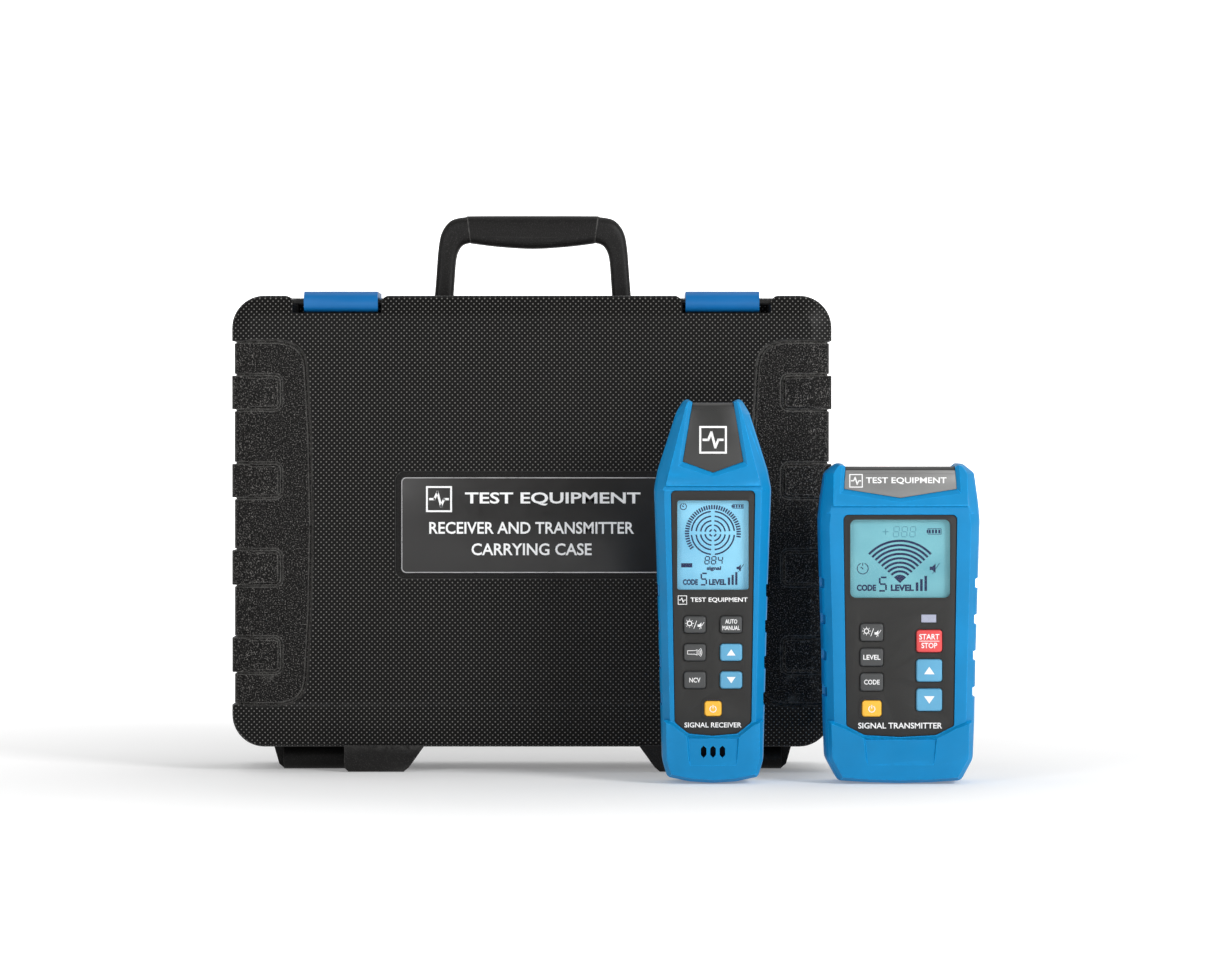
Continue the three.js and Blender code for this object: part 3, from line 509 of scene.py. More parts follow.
class Flat:
    """Thin printed shapes on one plane that faces the viewer, in millimetres."""

    def __init__(self):
        self.bm = bmesh.new()

    def poly(self, points):
        self.bm.faces.new([self.bm.verts.new((x, 0, z)) for x, z in points])

    def rect(self, cx, cz, w, h, turn=0.0):
        c, s = cos(turn), sin(turn)
        corners = ((-w / 2, -h / 2), (w / 2, -h / 2), (w / 2, h / 2), (-w / 2, h / 2))
        self.poly([(cx + x * c - z * s, cz + x * s + z * c) for x, z in corners])

    def band(self, cx, cz, r0, r1, start=0, end=360, steps=None):
        """Part of a ring, or of a disc where r0 is 0."""
        def at(r, angle):
            return cx + r * cos(angle), cz + r * sin(angle)

        steps = steps or max(3, int(abs(end - start) / 6))
        for i in range(steps):
            a, b = (radians(start + (end - start) * k / steps) for k in (i, i + 1))
            outer = [at(r1, a), at(r1, b)]
            self.poly([at(r0, a), *outer, at(r0, b)] if r0 > 0 else [(cx, cz), *outer])

    def frame(self, cx, cz, w, h, line):
        for s in (-1, 1):
            self.rect(cx, cz + s * (h - line) / 2, w, line)
            self.rect(cx + s * (w - line) / 2, cz, line, h - 2 * line)

    def text(self, words, cx, cz, width, height, bold):
        curve = bpy.data.curves.new("words", "FONT")
        curve.body, curve.offset, curve.resolution_u = words, bold, 3
        mesh = evaluated(linked("words", curve))
        xs, ys, _ = zip(*(v.co for v in mesh.vertices))
        left, low = min(xs), min(ys)
        kx, kz = width / (max(xs) - left), height / (max(ys) - low)
        corners = [self.bm.verts.new((cx + (x - left) * kx - width / 2, 0, cz + (y - low) * kz - height / 2))
                   for x, y in zip(xs, ys)]
        for face in mesh.polygons:
            self.bm.faces.new([corners[i] for i in face.vertices])

    def digit(self, number, cx, cz, w, h, line):
        lit = {8: "abcdefg", 5: "acdfg", 4: "bcfg"}[number]
        spans = {"a": (0, h / 2, w, line), "g": (0, 0, w, line), "d": (0, -h / 2, w, line),
                 "b": (w / 2, h / 4, line, h / 2), "c": (w / 2, -h / 4, line, h / 2),
                 "f": (-w / 2, h / 4, line, h / 2), "e": (-w / 2, -h / 4, line, h / 2)}
        for key in lit:
            x, z, sw, sh = spans[key]
            self.rect(cx + x + 0.12 * z, cz + z, sw * 0.8 if sw > sh else sw, sh * 0.8 if sh > sw else sh)

    def battery(self, cx, cz, w, h):
        self.frame(cx, cz, w, h, 0.35)
        self.rect(cx - w / 2 - 0.3, cz, 0.6, h * 0.5)
        for i in range(4):
            self.rect(cx - w / 2 + w * (i + 0.62) / 4.3, cz, w * 0.15, h * 0.6)

    def timer(self, cx, cz, r):
        self.band(cx, cz, r - 0.5, r, 110, 430)
        self.rect(cx, cz + r * 0.7, 0.5, r * 0.5)
        self.rect(cx - r * 0.12, cz + r * 0.08, r * 0.6, 0.6, 2.4)

    def mute(self, cx, cz, s):
        self.poly([(cx - s, cz - s * 0.35), (cx - s * 0.45, cz - s * 0.35), (cx + s * 0.2, cz - s),
                   (cx + s * 0.2, cz + s), (cx - s * 0.45, cz + s * 0.35), (cx - s, cz + s * 0.35)])
        self.rect(cx + s * 0.3, cz, 0.35, s * 2.6, -0.6)

    def bars(self, cx, cz, s):
        for i in range(3):
            h = s * (0.56 + 0.21 * i)
            self.rect(cx + i * s * 0.28, cz + h / 2, s * 0.17, h)

    def lamp(self, cx, cz, r):
        self.band(cx, cz, r * 0.42, r * 0.62)
        for i in range(8):
            a = radians(45 * i)
            self.rect(cx + r * 0.85 * cos(a), cz + r * 0.85 * sin(a), r * 0.28, r * 0.13, a)

    def arrow(self, cx, cz, w, h, up=True):
        k = 1 if up else -1
        points = [(cx - w / 2, cz - k * h / 2), (cx + w / 2, cz - k * h / 2), (cx, cz + k * h / 2)]
        self.poly(points if up else points[::-1])

    def power(self, cx, cz, r):
        self.band(cx, cz, r * 0.76, r, 120, 420)
        self.rect(cx, cz + r * 0.65, r * 0.24, r * 1.0)

    def make(self, name, at, y, body, material="white_ink", thick=0.04):
        """Gives what has been drawn its thickness, on the plane at y, and puts it on a body."""
        bmesh.ops.remove_doubles(self.bm, verts=self.bm.verts, dist=0.0005)
        bmesh.ops.recalc_face_normals(self.bm, faces=self.bm.faces)
        out = bmesh.ops.extrude_face_region(self.bm, geom=list(self.bm.faces))
        moved = [v for v in out["geom"] if isinstance(v, bmesh.types.BMVert)]
        bmesh.ops.translate(self.bm, verts=moved, vec=(0, -thick, 0))
        bmesh.ops.recalc_face_normals(self.bm, faces=self.bm.faces)
        mesh = finished(self.bm)
        mesh.transform(Matrix.Translation((0, y, 0)))
        return piece(name, mesh, at, body, material, smooth=20)


# ---- carrying case
CASE = dict(half=185.0, bottom=15.5, top=294.0, front=38.0, back=66.0, corner=20.0, wall=3.5)
HINGE_Z, NOTCH_X, NOTCH_HALF, BAY_HALF = 7.5, 120.0, 27.4, 65.0
RECESS, GROOVE, ABOVE = 1.5, 0.9, 310.0
PANEL_LOW, PANEL_HIGH, LATCH_X, LATCH_AXIS = 40.5, 267.0, 117.5, (-30.5, 290)
RIBS = ((224.3, 244.1), (169.9, 189.7), (116.0, 136.4), (62.2, 82.6))
SIDES = (("left", -1), ("right", 1))
# How far the case's outline has drawn in at each depth behind its face: a rounded side, then a wide chamfer.
CASE_EDGE = ((9.2, 0), (7.6, 0.12), (6.3, 0.5), (5.3, 1.2), (4.6, 2.2), (0.5, 11.2), (0.12, 12.2), (0, 13.2))


def case_outline(d):
    return round_rect(-CASE["half"] + d, CASE["half"] - d, CASE["bottom"] + d, CASE["top"] - d,
                      max(CASE["corner"] - d, 5), 12)


def case_face(side):
    return -CASE["front"] if side < 0 else CASE["back"]


def case_block(side, under=0.0):
    """Half of the case as one block, or the block that lies that far under its surface."""
    face = case_face(side) - side * under
    rows = [(side * GAP / 2, case_outline(0.7 + under)), (side * (GAP / 2 + 0.7), case_outline(under))]
    rows += [(face - side * y, case_outline(d + under)) for y, d in CASE_EDGE]
    return loft(rows)


def case_cavity(side):
    face, wall = case_face(side), CASE["wall"]
    return loft([(-side, case_outline(wall)), (face - side * 8, case_outline(wall)),
                 (face - side * wall, case_outline(13))])


def wide(centre, half, y0, y1, z0):
    """A block that reaches up past the case's top."""
    return block(centre - half, centre + half, y0, y1, z0, ABOVE)


def foot(kind, side):
    if kind == "front":
        inner, outer, slope, y0, y1 = 66, 115.7, 13, -33, -0.15
        points = [(inner, 16.5), (inner + slope * 0.75, 3), (inner + slope, 0.3), (outer - 2.5, 0.3), (outer, 2.8),
                  (outer, 16.5)]
        ends = (inner + slope, outer)
    else:
        inner, outer, slope, y0, y1 = 116.3, 162, 7, 0.15, 60
        points = [(inner, 16.5), (inner, 0.3), (outer - slope, 0.3), (outer - slope * 0.55, 3), (outer, 16.5)]
        ends = (inner, outer - slope)
    if side < 0:
        points = [(-x, z) for x, z in reversed(points)]
        ends = (-ends[1], -ends[0])
    hole = (-130, -81) if side < 0 else (81, 130)
    return shaped(prism(points, y0, y1), ("+", rod("x", ends[0], ends[1], (0, HINGE_Z), 7.5)),
                  ("-", rod("x", *hole, (0, HINGE_Z), 2.9)))


def side_panel(side, d):
    """The grained panel that wraps one end of the case, bowed on its inner side."""
    low, high = PANEL_LOW + d, PANEL_HIGH - d
    half = [(192, low), (155, low), (145 + d * 0.5, 43 + d), (139.5 + d, 49 + d * 0.5), (137.7 + d, 56),
            (135.2 + d, 100), (134.1 + d, 153.7), (135.2 + d, 207), (137.7 + d, 251.5),
            (139.5 + d, 258.5 - d * 0.5), (145 + d * 0.5, 264.5 - d), (155, high), (192, high)]
    return soften([(side * x, z) for x, z in (half if side < 0 else reversed(half))], 4)


def slopes(case_side, outline, at_face, at_depth):
    """A solid through the case's wall whose outline is grown by one amount at the face and by another below it."""
    face = case_face(case_side)
    rows = [(face + case_side * 2, at_face), (face, at_face), (face - case_side * 1.7, at_depth),
            (-case_side, at_depth)]
    return loft([(y, inset(outline, -grow)) for y, grow in rows])


def ribs(side):
    """The outlines of the raised blocks across a side panel."""
    x0, x1 = sorted((side * 155, side * 200))
    return [round_rect(x0, x1, z0, z1, 3.2, 4) for z0, z1 in RIBS]


def side_recess(case_side, side):
    """What is cut away for a side panel, down to a surface under the case's own, but for its ribs."""
    return shaped(slopes(case_side, side_panel(side, 0.8), 0.8, -0.2),
                  *cuts(slopes(case_side, rib, -1.2, 0.4) for rib in ribs(side)),
                  ("-", case_block(case_side, RECESS)))


def border_groove(case_side, side):
    """A fine groove round the foot of the recess and round each rib."""
    def ring(outline, inner, outer):
        return shaped(slopes(case_side, outline, outer, outer), ("-", slopes(case_side, outline, inner, inner)))

    return shaped(ring(side_panel(side, 0.8), -1.7, -0.2), *(("+", ring(rib, 0.4, 1.7)) for rib in ribs(side)),
                  ("-", case_block(case_side, RECESS + GROOVE)))


def notch(side, y0, y1):
    """The gap that a latch lies in, with rounded shoulders."""
    low, shoulder = 283, 5.0
    half = [(0, low), (NOTCH_HALF, low)]
    for k in range(7):
        a = radians(15 * k)
        half.append((NOTCH_HALF + shoulder * (1 - cos(a)), CASE["top"] - shoulder * (1 - sin(a))))
    half += [(half[-1][0], ABOVE), (0, ABOVE)]
    return prism([(x + side * NOTCH_X, z) for x, z in mirrored(half)], y0, y1)


def case_front():
    face = -CASE["front"]
    inner = case_cavity(-1)
    mesh = case_block(-1)
    for _, side in SIDES:
        mesh = shaped(mesh, ("-", side_recess(-1, side)), ("-", border_groove(-1, side)))
        inner = shaped(inner, ("-", wide(side * NOTCH_X, NOTCH_HALF + 3.5, -50, 2, 279.5)))
    mesh = shaped(mesh, ("-", inner))
    for _, side in SIDES:
        mesh = shaped(mesh, ("-", notch(side, -50, 2)), ("+", foot("front", side)))
    label = round_rect(-83.9, 83.9, 119.35, 185.65, 6)
    return shaped(mesh, ("-", prism(label, face - 1, face + 1.4)))


def in_side_panel(c):
    edge = 134.1 + 3.6 * min(1.0, abs(c.z - 153.7) / 98) ** 2
    return PANEL_LOW < c.z < PANEL_HIGH and abs(c.x) > edge


CASE_FINISH = ("case_knurled", "case_grained", "case_plain")
KNURL, GRAIN, PLAIN = range(3)


def front_paint(c):
    if in_side_panel(c):
        return GRAIN
    in_label_pocket = abs(c.x) < 84.2 and 119 < c.z < 186 and c.y > 0.1 - CASE["front"]
    return PLAIN if c.z < 16 or c.y > -0.6 or in_label_pocket else KNURL


def back_paint(c):
    return PLAIN if c.z < 16 or c.y < 0.6 else GRAIN if in_side_panel(c) else KNURL


piece("case_front_moulding", eased(case_front(), 0.45), CASE_AT, "case_front", CASE_FINISH, ("case_front_shell",),
      "case_black", front_paint)


def case_back():
    inner = shaped(case_cavity(1), ("-", wide(0, BAY_HALF + 3.5, 0, 80, 275)))
    mesh = case_block(1)
    for _, side in SIDES:
        mesh = shaped(mesh, ("-", side_recess(1, side)), ("-", border_groove(1, side)))
        inner = shaped(inner, ("-", wide(side * NOTCH_X, NOTCH_HALF + 3.5, -2, 27.5, 279.5)))
    mesh = shaped(mesh, ("-", inner), ("-", wide(0, BAY_HALF, 3.5, 80, 278.5)))
    for _, side in SIDES:
        mesh = shaped(mesh, ("-", notch(side, -2, 24)), ("+", foot("back", side)),
                      ("+", block(side * LATCH_X - 19.5, side * LATCH_X + 19.5, 8, 12, 282, 284.8)))
    return mesh


piece("case_back_moulding", eased(case_back(), 0.45), CASE_AT, "case_back", CASE_FINISH, ("case_back_shell",),
      "case_black", back_paint)

# Label plate, its border and its printing.
LABEL_Y = -CASE["front"] + 1.4 - GAP - 0.9
plate = prism(round_rect(-80.5, 80.5, 122.75, 182.25, 3), LABEL_Y + 0.05, LABEL_Y + 0.9)
piece("case_label_plate", eased(plate, 0.25), CASE_AT, "case_front", "label_gloss", ("case_label",), "label_gloss")
border = shaped(prism(round_rect(-80.1, 80.1, 123.15, 181.85, 2.8), LABEL_Y, LABEL_Y + 0.3),
                ("-", prism(round_rect(-79.6, 79.6, 123.65, 181.35, 2.5), LABEL_Y - 1, LABEL_Y + 1)))
piece("case_label_border", border, CASE_AT, "case_front", "label_border")


def emblem(flat, cx, cz, r):
    """A plain generic sign: a square frame with a pulse trace across it."""
    flat.frame(cx, cz, 2 * r, 2 * r, r * 0.14)
    trace = [(-0.7, 0), (-0.35, 0), (-0.12, 0.55), (0.16, -0.55), (0.38, 0), (0.7, 0)]
    for (x0, z0), (x1, z1) in zip(trace, trace[1:]):
        length, turn = hypot(x1 - x0, z1 - z0), atan2(z1 - z0, x1 - x0)
        flat.rect(cx + r * (x0 + x1) / 2, cz + r * (z0 + z1) / 2, r * (length + 0.12), r * 0.17, turn)


label = Flat()
emblem(label, -57, 168.5, 8.0)
label.text("TEST EQUIPMENT", 13, 168.6, 108, 8.2, 0.02)
label.text("RECEIVER AND TRANSMITTER", 0, 150.8, 126, 7.4, 0.016)
label.text("CARRYING CASE", 0, 137.6, 74, 7.4, 0.016)
label.make("case_label_print", CASE_AT, LABEL_Y + 0.05, "case_front")


def latch():
    plate = mirrored([(0, 2.6), (22.6, 2.6), (22.6, 6.4), (0, 6.4)])
    body = shaped(rod("x", -22.7, 22.7, (0, 0), 6.5, 48),
                  ("+", prism(plate, 0, 47.5)),
                  ("+", block(-20.7, 20.7, 43.5, 47.5, -4.3, 3.5)),
                  ("-", rod("x", -30, 30, (0, 0), 1.9)),
                  *cuts(block(-17, 17, y, y + 3, 6.1, 8) for y in (36, 31)))
    return eased(body, 1.1, 4)


for word, side in SIDES:
    piece(f"latch_moulding_{word}", latch(), (CASE_AT[0] + side * LATCH_X, CASE_AT[1] + LATCH_AXIS[0], LATCH_AXIS[1]),
          f"latch_{word}_body", "latch_blue", (f"latch_{word}",), "latch_blue")


def spline(points, per):
    """A smooth line through the points, with per steps from each to the next."""
    made = []
    ends = [points[0]] + points + [points[-1]]
    for p0, p1, p2, p3 in zip(ends, ends[1:], ends[2:], ends[3:]):
        for k in range(per):
            t = k / per
            made.append(tuple(0.5 * (2 * b + (c - a) * t + (2 * a - 5 * b + 4 * c - d) * t * t
                                     + (3 * b - a - 3 * c + d) * t ** 3) for a, b, c, d in zip(p0, p1, p2, p3)))
    return made + [points[-1]]


def handle():
    """One bow, swept from foot to foot: slim legs that swell into a grip."""
    # Each station: outer x and z, inner x and z, half the depth.
    half = [(-62, 287.5, -50, 287.5, 5.9), (-60.5, 306, -48.9, 304, 5.9), (-59, 325, -47.9, 316.5, 6.0),
            (-56.6, 335.4, -46.4, 322.6, 6.3), (-50.6, 342.4, -43.4, 326.6, 7.0), (-41, 344.5, -38.5, 328.0, 7.9),
            (-40, 344.9, -37.6, 327.5, 8.25), (-20, 345.05, -20, 325.4, 8.4), (0, 345.1, 0, 324.3, 8.45)]
    stations = half + [(-a, b, -c, d, e) for a, b, c, d, e in reversed(half[:-1])]
    rings, sides = [], 28
    for ox, oz, ix, iz, depth in spline(stations, 5):
        centre = Vector(((ox + ix) / 2, 0, (oz + iz) / 2))
        out = Vector((ox - ix, 0, oz - iz)) / 2
        ring = []
        for k in range(sides):
            a = 2 * pi * k / sides
            u, v = (copysign(abs(wave) ** 0.62, wave) for wave in (cos(a), sin(a)))
            ring.append(centre + out * u + Vector((0, depth * v, 0)))
        rings.append(ring)
    body = skinned(rings)
    for side in (-1, 1):
        a, b = sorted((side * 50, side * 62))
        body = shaped(body, ("+", rod("x", a, b, (0, 287.5), 5.9)), ("-", rod("x", a - 3, b + 3, (0, 287.5), 2.2)))
    return eased(body, 0.3, 2, 45)


piece("handle_moulding", handle(), (CASE_AT[0], CASE_AT[1] + 10.5), "handle_body", "case_plain", ("carry_handle",),
      "case_black")

# ---- tools
PLATE_FRONT, PLATE_BACK, KEY_FRONT, LCD_FRONT, SCREW_BELOW_BAY = 3.5, 6.0, 1.9, 6.5, 6.5
RECEIVER = dict(
    name="receiver", cap_face="cap_grey", at=RECEIVER_AT, depth=40.0,
    outline=[(0, 0), (14, 0.9), (27.3, 3.8), (30.2, 14), (31.1, 48), (32.9, 118.6), (34.9, 176), (32.7, 187),
             (21.6, 221.5), (17.4, 228.4), (14.8, 229.4), (12.4, 227.6), (0, 227.6)],
    plate=[(0, 29), (14.5, 30.3), (22.7, 37), (24.9, 173), (23.4, 174.6), (0, 174.6)],
    cap=(227.2, 12.0, 192.1, 17.9, 185.6, 217.5), window=(0, 142.3, 20.9, 26.2, 1.0), grips=(115, 93.5, 72, 50.5),
    grip_height=7.6, grip_depth=1.1, sunk=(15.6, 10.3, 28.2), bay=(24, 76), lean=0.045,
    hood=[((34.3, 174.8), (28.3, 177.6)), ((32.8, 186.5), (26.6, 184)), ((21.6, 221.5), (16.2, 221.5)),
          ((17.4, 228.4), (14.9, 226.8)), ((14.8, 229.4), (13.9, 227.6)), ((12.4, 227.6), (12.5, 226.6))],
    chin=[(0, 0.8), (13, 1.6), (26.2, 4.4), (29.4, 14), (29.9, 42), (0, 42)],
    brow=[(0, 28.4), (14.8, 29.6), (23.2, 36.6), (27.6, 38.2)],
    keys=[("backlight", -10.8, 95, 13.2, 10.2, "grey_key"), ("mode", 10.8, 95, 13.2, 10.2, "grey_key"),
          ("torch", -10.8, 78.5, 13.2, 10.2, "grey_key"), ("up", 10.8, 78.5, 13.2, 10.2, "sky_key"),
          ("voltage", -10.8, 62, 13.2, 10.2, "grey_key"), ("down", 10.8, 62, 13.2, 10.2, "sky_key"),
          ("power", 0, 45, 10.2, 9.1, "yellow_key")])
TRANSMITTER = dict(
    # The transmitter's cap face takes a painted reflection.
    name="transmitter", cap_face="cap_pale", at=TRANSMITTER_AT, depth=46.0,
    outline=[(0, 0), (20, 0.5), (36.9, 1.6), (43.9, 14.6), (44.8, 37.2), (45.6, 76.6), (48, 157.3), (46.6, 170),
             (44.3, 185.4), (37.4, 190.9), (34.4, 191.1), (32.8, 189.3), (0, 189.3)],
    plate=[(0, 28.3), (21.3, 29.4), (31.9, 34.8), (33.7, 158.4), (32, 160.2), (0, 160.2)],
    cap=(189.0, 32.4, 175.8, 33.4, 170.5, 179.0), window=(0, 134.2, 29.4, 22.9, 3.0), grips=(119.4, 97.8, 76.2, 54.6),
    grip_height=5.4, grip_depth=1.9, sunk=(21.9, 10.6, 27.4), bay=(28, 80), lean=0.13,
    hood=[((47.5, 160.8), (40.1, 165.6)), ((46.5, 170), (39.7, 171)), ((44.3, 185.4), (38.4, 184.6)),
          ((37.4, 190.9), (36.0, 189)), ((34.4, 191.1), (34.4, 189.4)), ((32.8, 189.3), (33.3, 188.4))],
    chin=[(0, 0.6), (19, 1.1), (35.4, 2.4), (42.3, 15), (43.2, 42), (0, 42)],
    brow=[(0, 27.7), (21.4, 28.8), (32.6, 34.6), (40.2, 37.6)],
    keys=[("backlight", -17, 90.4, 13.9, 10.7, "grey_key"), ("level", -17, 75.6, 13.9, 10.7, "grey_key"),
          ("code", -17, 60.8, 13.9, 10.7, "grey_key"), ("power", -17, 45, 11.7, 9.7, "yellow_key"),
          ("start", 17.2, 85.2, 15.4, 13.4, "red_key"), ("up", 17.2, 67.7, 15.4, 13.4, "sky_key"),
          ("down", 17.2, 50.2, 15.4, 13.4, "sky_key")])


def half_width(half, z):
    for (x0, z0), (x1, z1) in zip(half, half[1:]):
        if z0 <= z <= z1:
            return x0 + (x1 - x0) * (z - z0) / (z1 - z0)
    return half[-1][0]


def tool_rows(tool, rows, radius=2.4):
    outline = soften(mirrored(tool["outline"]), radius, 4)
    return loft([(y, shrink(outline, d)) for y, d in rows])


def across(points):
    """A solid wider than either tool whose section is given as (y, z) points."""
    mesh = prism([(-y, z) for y, z in points], -80, 80)
    mesh.transform(Matrix.Rotation(-pi / 2, 4, "Z"))
    return mesh


def lean(tool, under=0.0):
    """What is cut away in front of the hood or cap, so that it leans back towards the top."""
    z0, z1 = tool["hood"][0][1][1], tool["outline"][-1][1] + 8
    y1 = tool["lean"] * (z1 - z0) + under
    return across([(-9, z0 - 1), (under, z0), (y1, z1), (-9, z1)])


def nose(tool):
    """The hood round the cap: a front that leans back, a ridge under it and a wide facet down each side."""
    outer, front = zip(*tool["hood"])
    ridge, base = ([(x1 + (x0 - x1) * k, z1 + (z0 - z1) * k) for (x0, z0), (x1, z1) in tool["hood"]]
                   for k in (0.14, 0.28))
    ridge[0] = (ridge[0][0], front[0][1] - 0.9)
    base[0] = (base[0][0], outer[0][1])
    front, ridge, base, outer = (soften(mirrored([(0, half[0][1]), *half, (0, half[-1][1])]), 1.2, 3)
                                 for half in (front, ridge, base, outer))
    hood = loft([(0.05, shrink(front, 0.2)), (0.15, front), (1.9, ridge), (2.8, base), (9.5, outer), (12, outer)])
    return shaped(hood, ("-", lean(tool)))


def cap_pocket(tool):
    """The slope from the hood's front down to the cap, leaning with the hood."""
    z0 = tool["hood"][0][1][1]
    mesh = loft([(-4, cap_outline(tool, 3.4)), (0.0, cap_outline(tool, 2.7)), (1.6, cap_outline(tool, GAP)),
                 (1.8, cap_outline(tool, GAP))])
    for v in mesh.vertices:
        v.co.y += tool["lean"] * (v.co.z - z0)
    return mesh


def chin(tool):
    """The raised front under the faceplate, with a slope along its upper edge, and its sunk middle."""
    outline = mirrored(tool["chin"])
    half, low, high = tool["sunk"]
    knee = low + (high - low) * 0.25
    sunk = mirrored([(0, low), (half * 0.93, low), (half * 0.95, knee), (half, high), (0, high)])
    brow = tool["brow"]
    above = mirrored(brow + [(60, brow[-1][1]), (60, 90), (0, 90)])
    raised = loft([(0.05, inset(outline, 2.4)), (0.2, inset(outline, 1.9)), (3.2, outline), (6, outline)])
    slope = loft([(-1, inset(above, -2.1)), (0.05, inset(above, -1.7)), (2.8, above), (7, above)])
    dip = loft([(-1, inset(sunk, -0.8)), (0, sunk), (1.3, inset(sunk, 1.0))])
    for v in dip.vertices:
        v.co.y -= 1.4 * max(0.0, (knee + 2 - v.co.z) / (knee + 2 - low))
    return shaped(raised, ("-", slope)), dip


def cap_outline(tool, grow, low_end=None):
    top, top_half, low, low_half, point, _ = tool["cap"]
    slope = (low_half - top_half) / (top - low)
    rise = 6 if grow > 0 else 0
    if low_end is None:
        half = [(0, point - grow), (low_half + grow, low - grow)]
    else:
        half = [(0, low_end - grow), (top_half + slope * (top - low_end) + grow, low_end - grow)]
    return mirrored(half + [(top_half + grow - slope * rise, top + rise), (0, top + rise)])


def cap_solid(tool, grow):
    block_low = tool["cap"][5]
    front, back = (-2, tool["depth"] + 2) if grow > 0 else (0.9, tool["depth"] - 0.9)
    return shaped(prism(cap_outline(tool, grow), front, 3.6 + grow),
                  ("+", prism(cap_outline(tool, grow, block_low), front, back)))


def cap_moulding(tool):
    """The cap leans back with the hood, and its top edge is rounded."""
    top, radius = tool["cap"][0], 4.2
    z0 = tool["hood"][0][1][1]
    y = tool["lean"] * (top - z0) + 1.2
    arc = [(y + radius * (1 - sin(a)), top - radius * (1 - cos(a)))
           for a in (radians(15 * k) for k in range(7))]
    corner = across(arc + [(-9, top - radius), (-9, top + 9), (y + radius, top + 9)])
    return shaped(cap_solid(tool, 0), ("-", lean(tool, 1.2)), ("-", corner))


def grips(tool):
    cutters = []
    for side in (-1, 1):
        for z in tool["grips"]:
            edge = half_width(tool["outline"], z) - tool["grip_depth"]
            h = tool["grip_height"] / 2
            points = [(edge, z - h), (60, z - h - 2), (60, z + h + 6), (edge, z + h)]
            if side < 0:
                points = [(-x, height) for x, height in reversed(points)]
            cutters.append(prism(points, 5, tool["depth"] - 7))
    return cutters


def covers(tool):
    d = tool["depth"]
    split = d / 2
    z0, z1 = tool["bay"]
    shell_rows = [(2.7, 6.4), (2.8, 5.9), (7.2, 1.5), (8.2, 0.8), (10, 0.2), (12, 0), (d - 9, 0),
                  (d - 6, 0.5), (d - 3.6, 1.4), (d - 1.6, 3.0), (d - 0.4, 4.8), (d, 6.4)]
    raised, sunk = chin(tool)
    whole = shaped(tool_rows(tool, shell_rows), ("+", nose(tool)), ("-", cap_pocket(tool)), ("+", raised),
                   ("-", sunk), *cuts(grips(tool)))
    cavity = tool_rows(tool, [(8, 5.2), (12, 2.6), (d - 10, 2.6), (d - 2.4, 8)], 1.5)
    whole = shaped(whole, ("-", cavity), ("-", cap_solid(tool, GAP)))
    fore = shaped(whole.copy(), ("&", block(-80, 80, -10, split - GAP / 2, -10, 300)))
    rear = shaped(whole, ("&", block(-80, 80, split + GAP / 2, 80, -10, 300)))
    plate = mirrored(tool["plate"])
    fore = shaped(fore, ("-", prism(soften(inset(plate, -GAP), 1.2), -2, PLATE_BACK + GAP)),
                        ("-", prism(inset(plate, 2), 0, 10)))
    inner, box_front = 14.15, d - 20.9
    screw_at = (0, z0 - SCREW_BELOW_BAY)
    door = block(-15.95, 15.95, d - 2.5, d + 2, z0 - 11.3, z1 + 2.5)
    rear = shaped(
        rear,
        ("+", block(-18.25, 18.25, d - 4.6, d - 1, z0 - 13.4, z1 + 4.6)),
        ("+", block(-inner - 1.5, inner + 1.5, box_front - 1.5, d - 2, z0 - 1.5, z1 + 1.5)),
        ("+", rod("y", d - 12, d - 2, screw_at, 3.4)),
        ("-", block(-inner, inner, box_front, d + 5, z0, z1)),
        ("-", door), ("-", rod("y", d - 11, d, screw_at, 1.5)))
    return fore, rear


def around(x, z, w, h, radius, grow=0.0):
    """A rounded rectangle about x, z, given by half its width and height."""
    return round_rect(x - w - grow, x + w + grow, z - h - grow, z + h + grow, radius)


def faceplate(tool, extra):
    x, z, w, h, r = tool["window"]
    rim = prism(around(x, z, w, h, r + 1.6, 1.5), PLATE_FRONT - 0.5, PLATE_BACK)
    mesh = shaped(prism(soften(mirrored(tool["plate"]), 1.4), PLATE_FRONT, PLATE_BACK), ("+", rim),
                  ("-", prism(around(x, z, w, h, r + GAP, GAP), 0, 10)))
    for _, kx, kz, kw, kh, material in tool["keys"]:
        if material == "yellow_key":
            collar = prism(around(kx, kz, kw / 2, kh / 2, 3.2, 1.5), PLATE_FRONT - 0.7, PLATE_BACK)
            mesh = shaped(mesh, ("+", collar))
        mesh = shaped(mesh, ("-", prism(around(kx, kz, kw / 2, kh / 2, 2.2, GAP), 0, 10)))
    return eased(shaped(mesh, *cuts(extra)), 0.22)


def key_cap(w, h):
    face = round_rect(-w / 2, w / 2, -h / 2, h / 2, 1.9)
    rows = [(1.9, inset(face, 1.1)), (1.97, inset(face, 0.75)), (2.2, inset(face, 0.35)), (2.7, inset(face, 0.08)),
            (3.2, face), (6.25, face), (6.35, inset(face, -1)), (7.3, inset(face, -1))]
    return loft(rows)


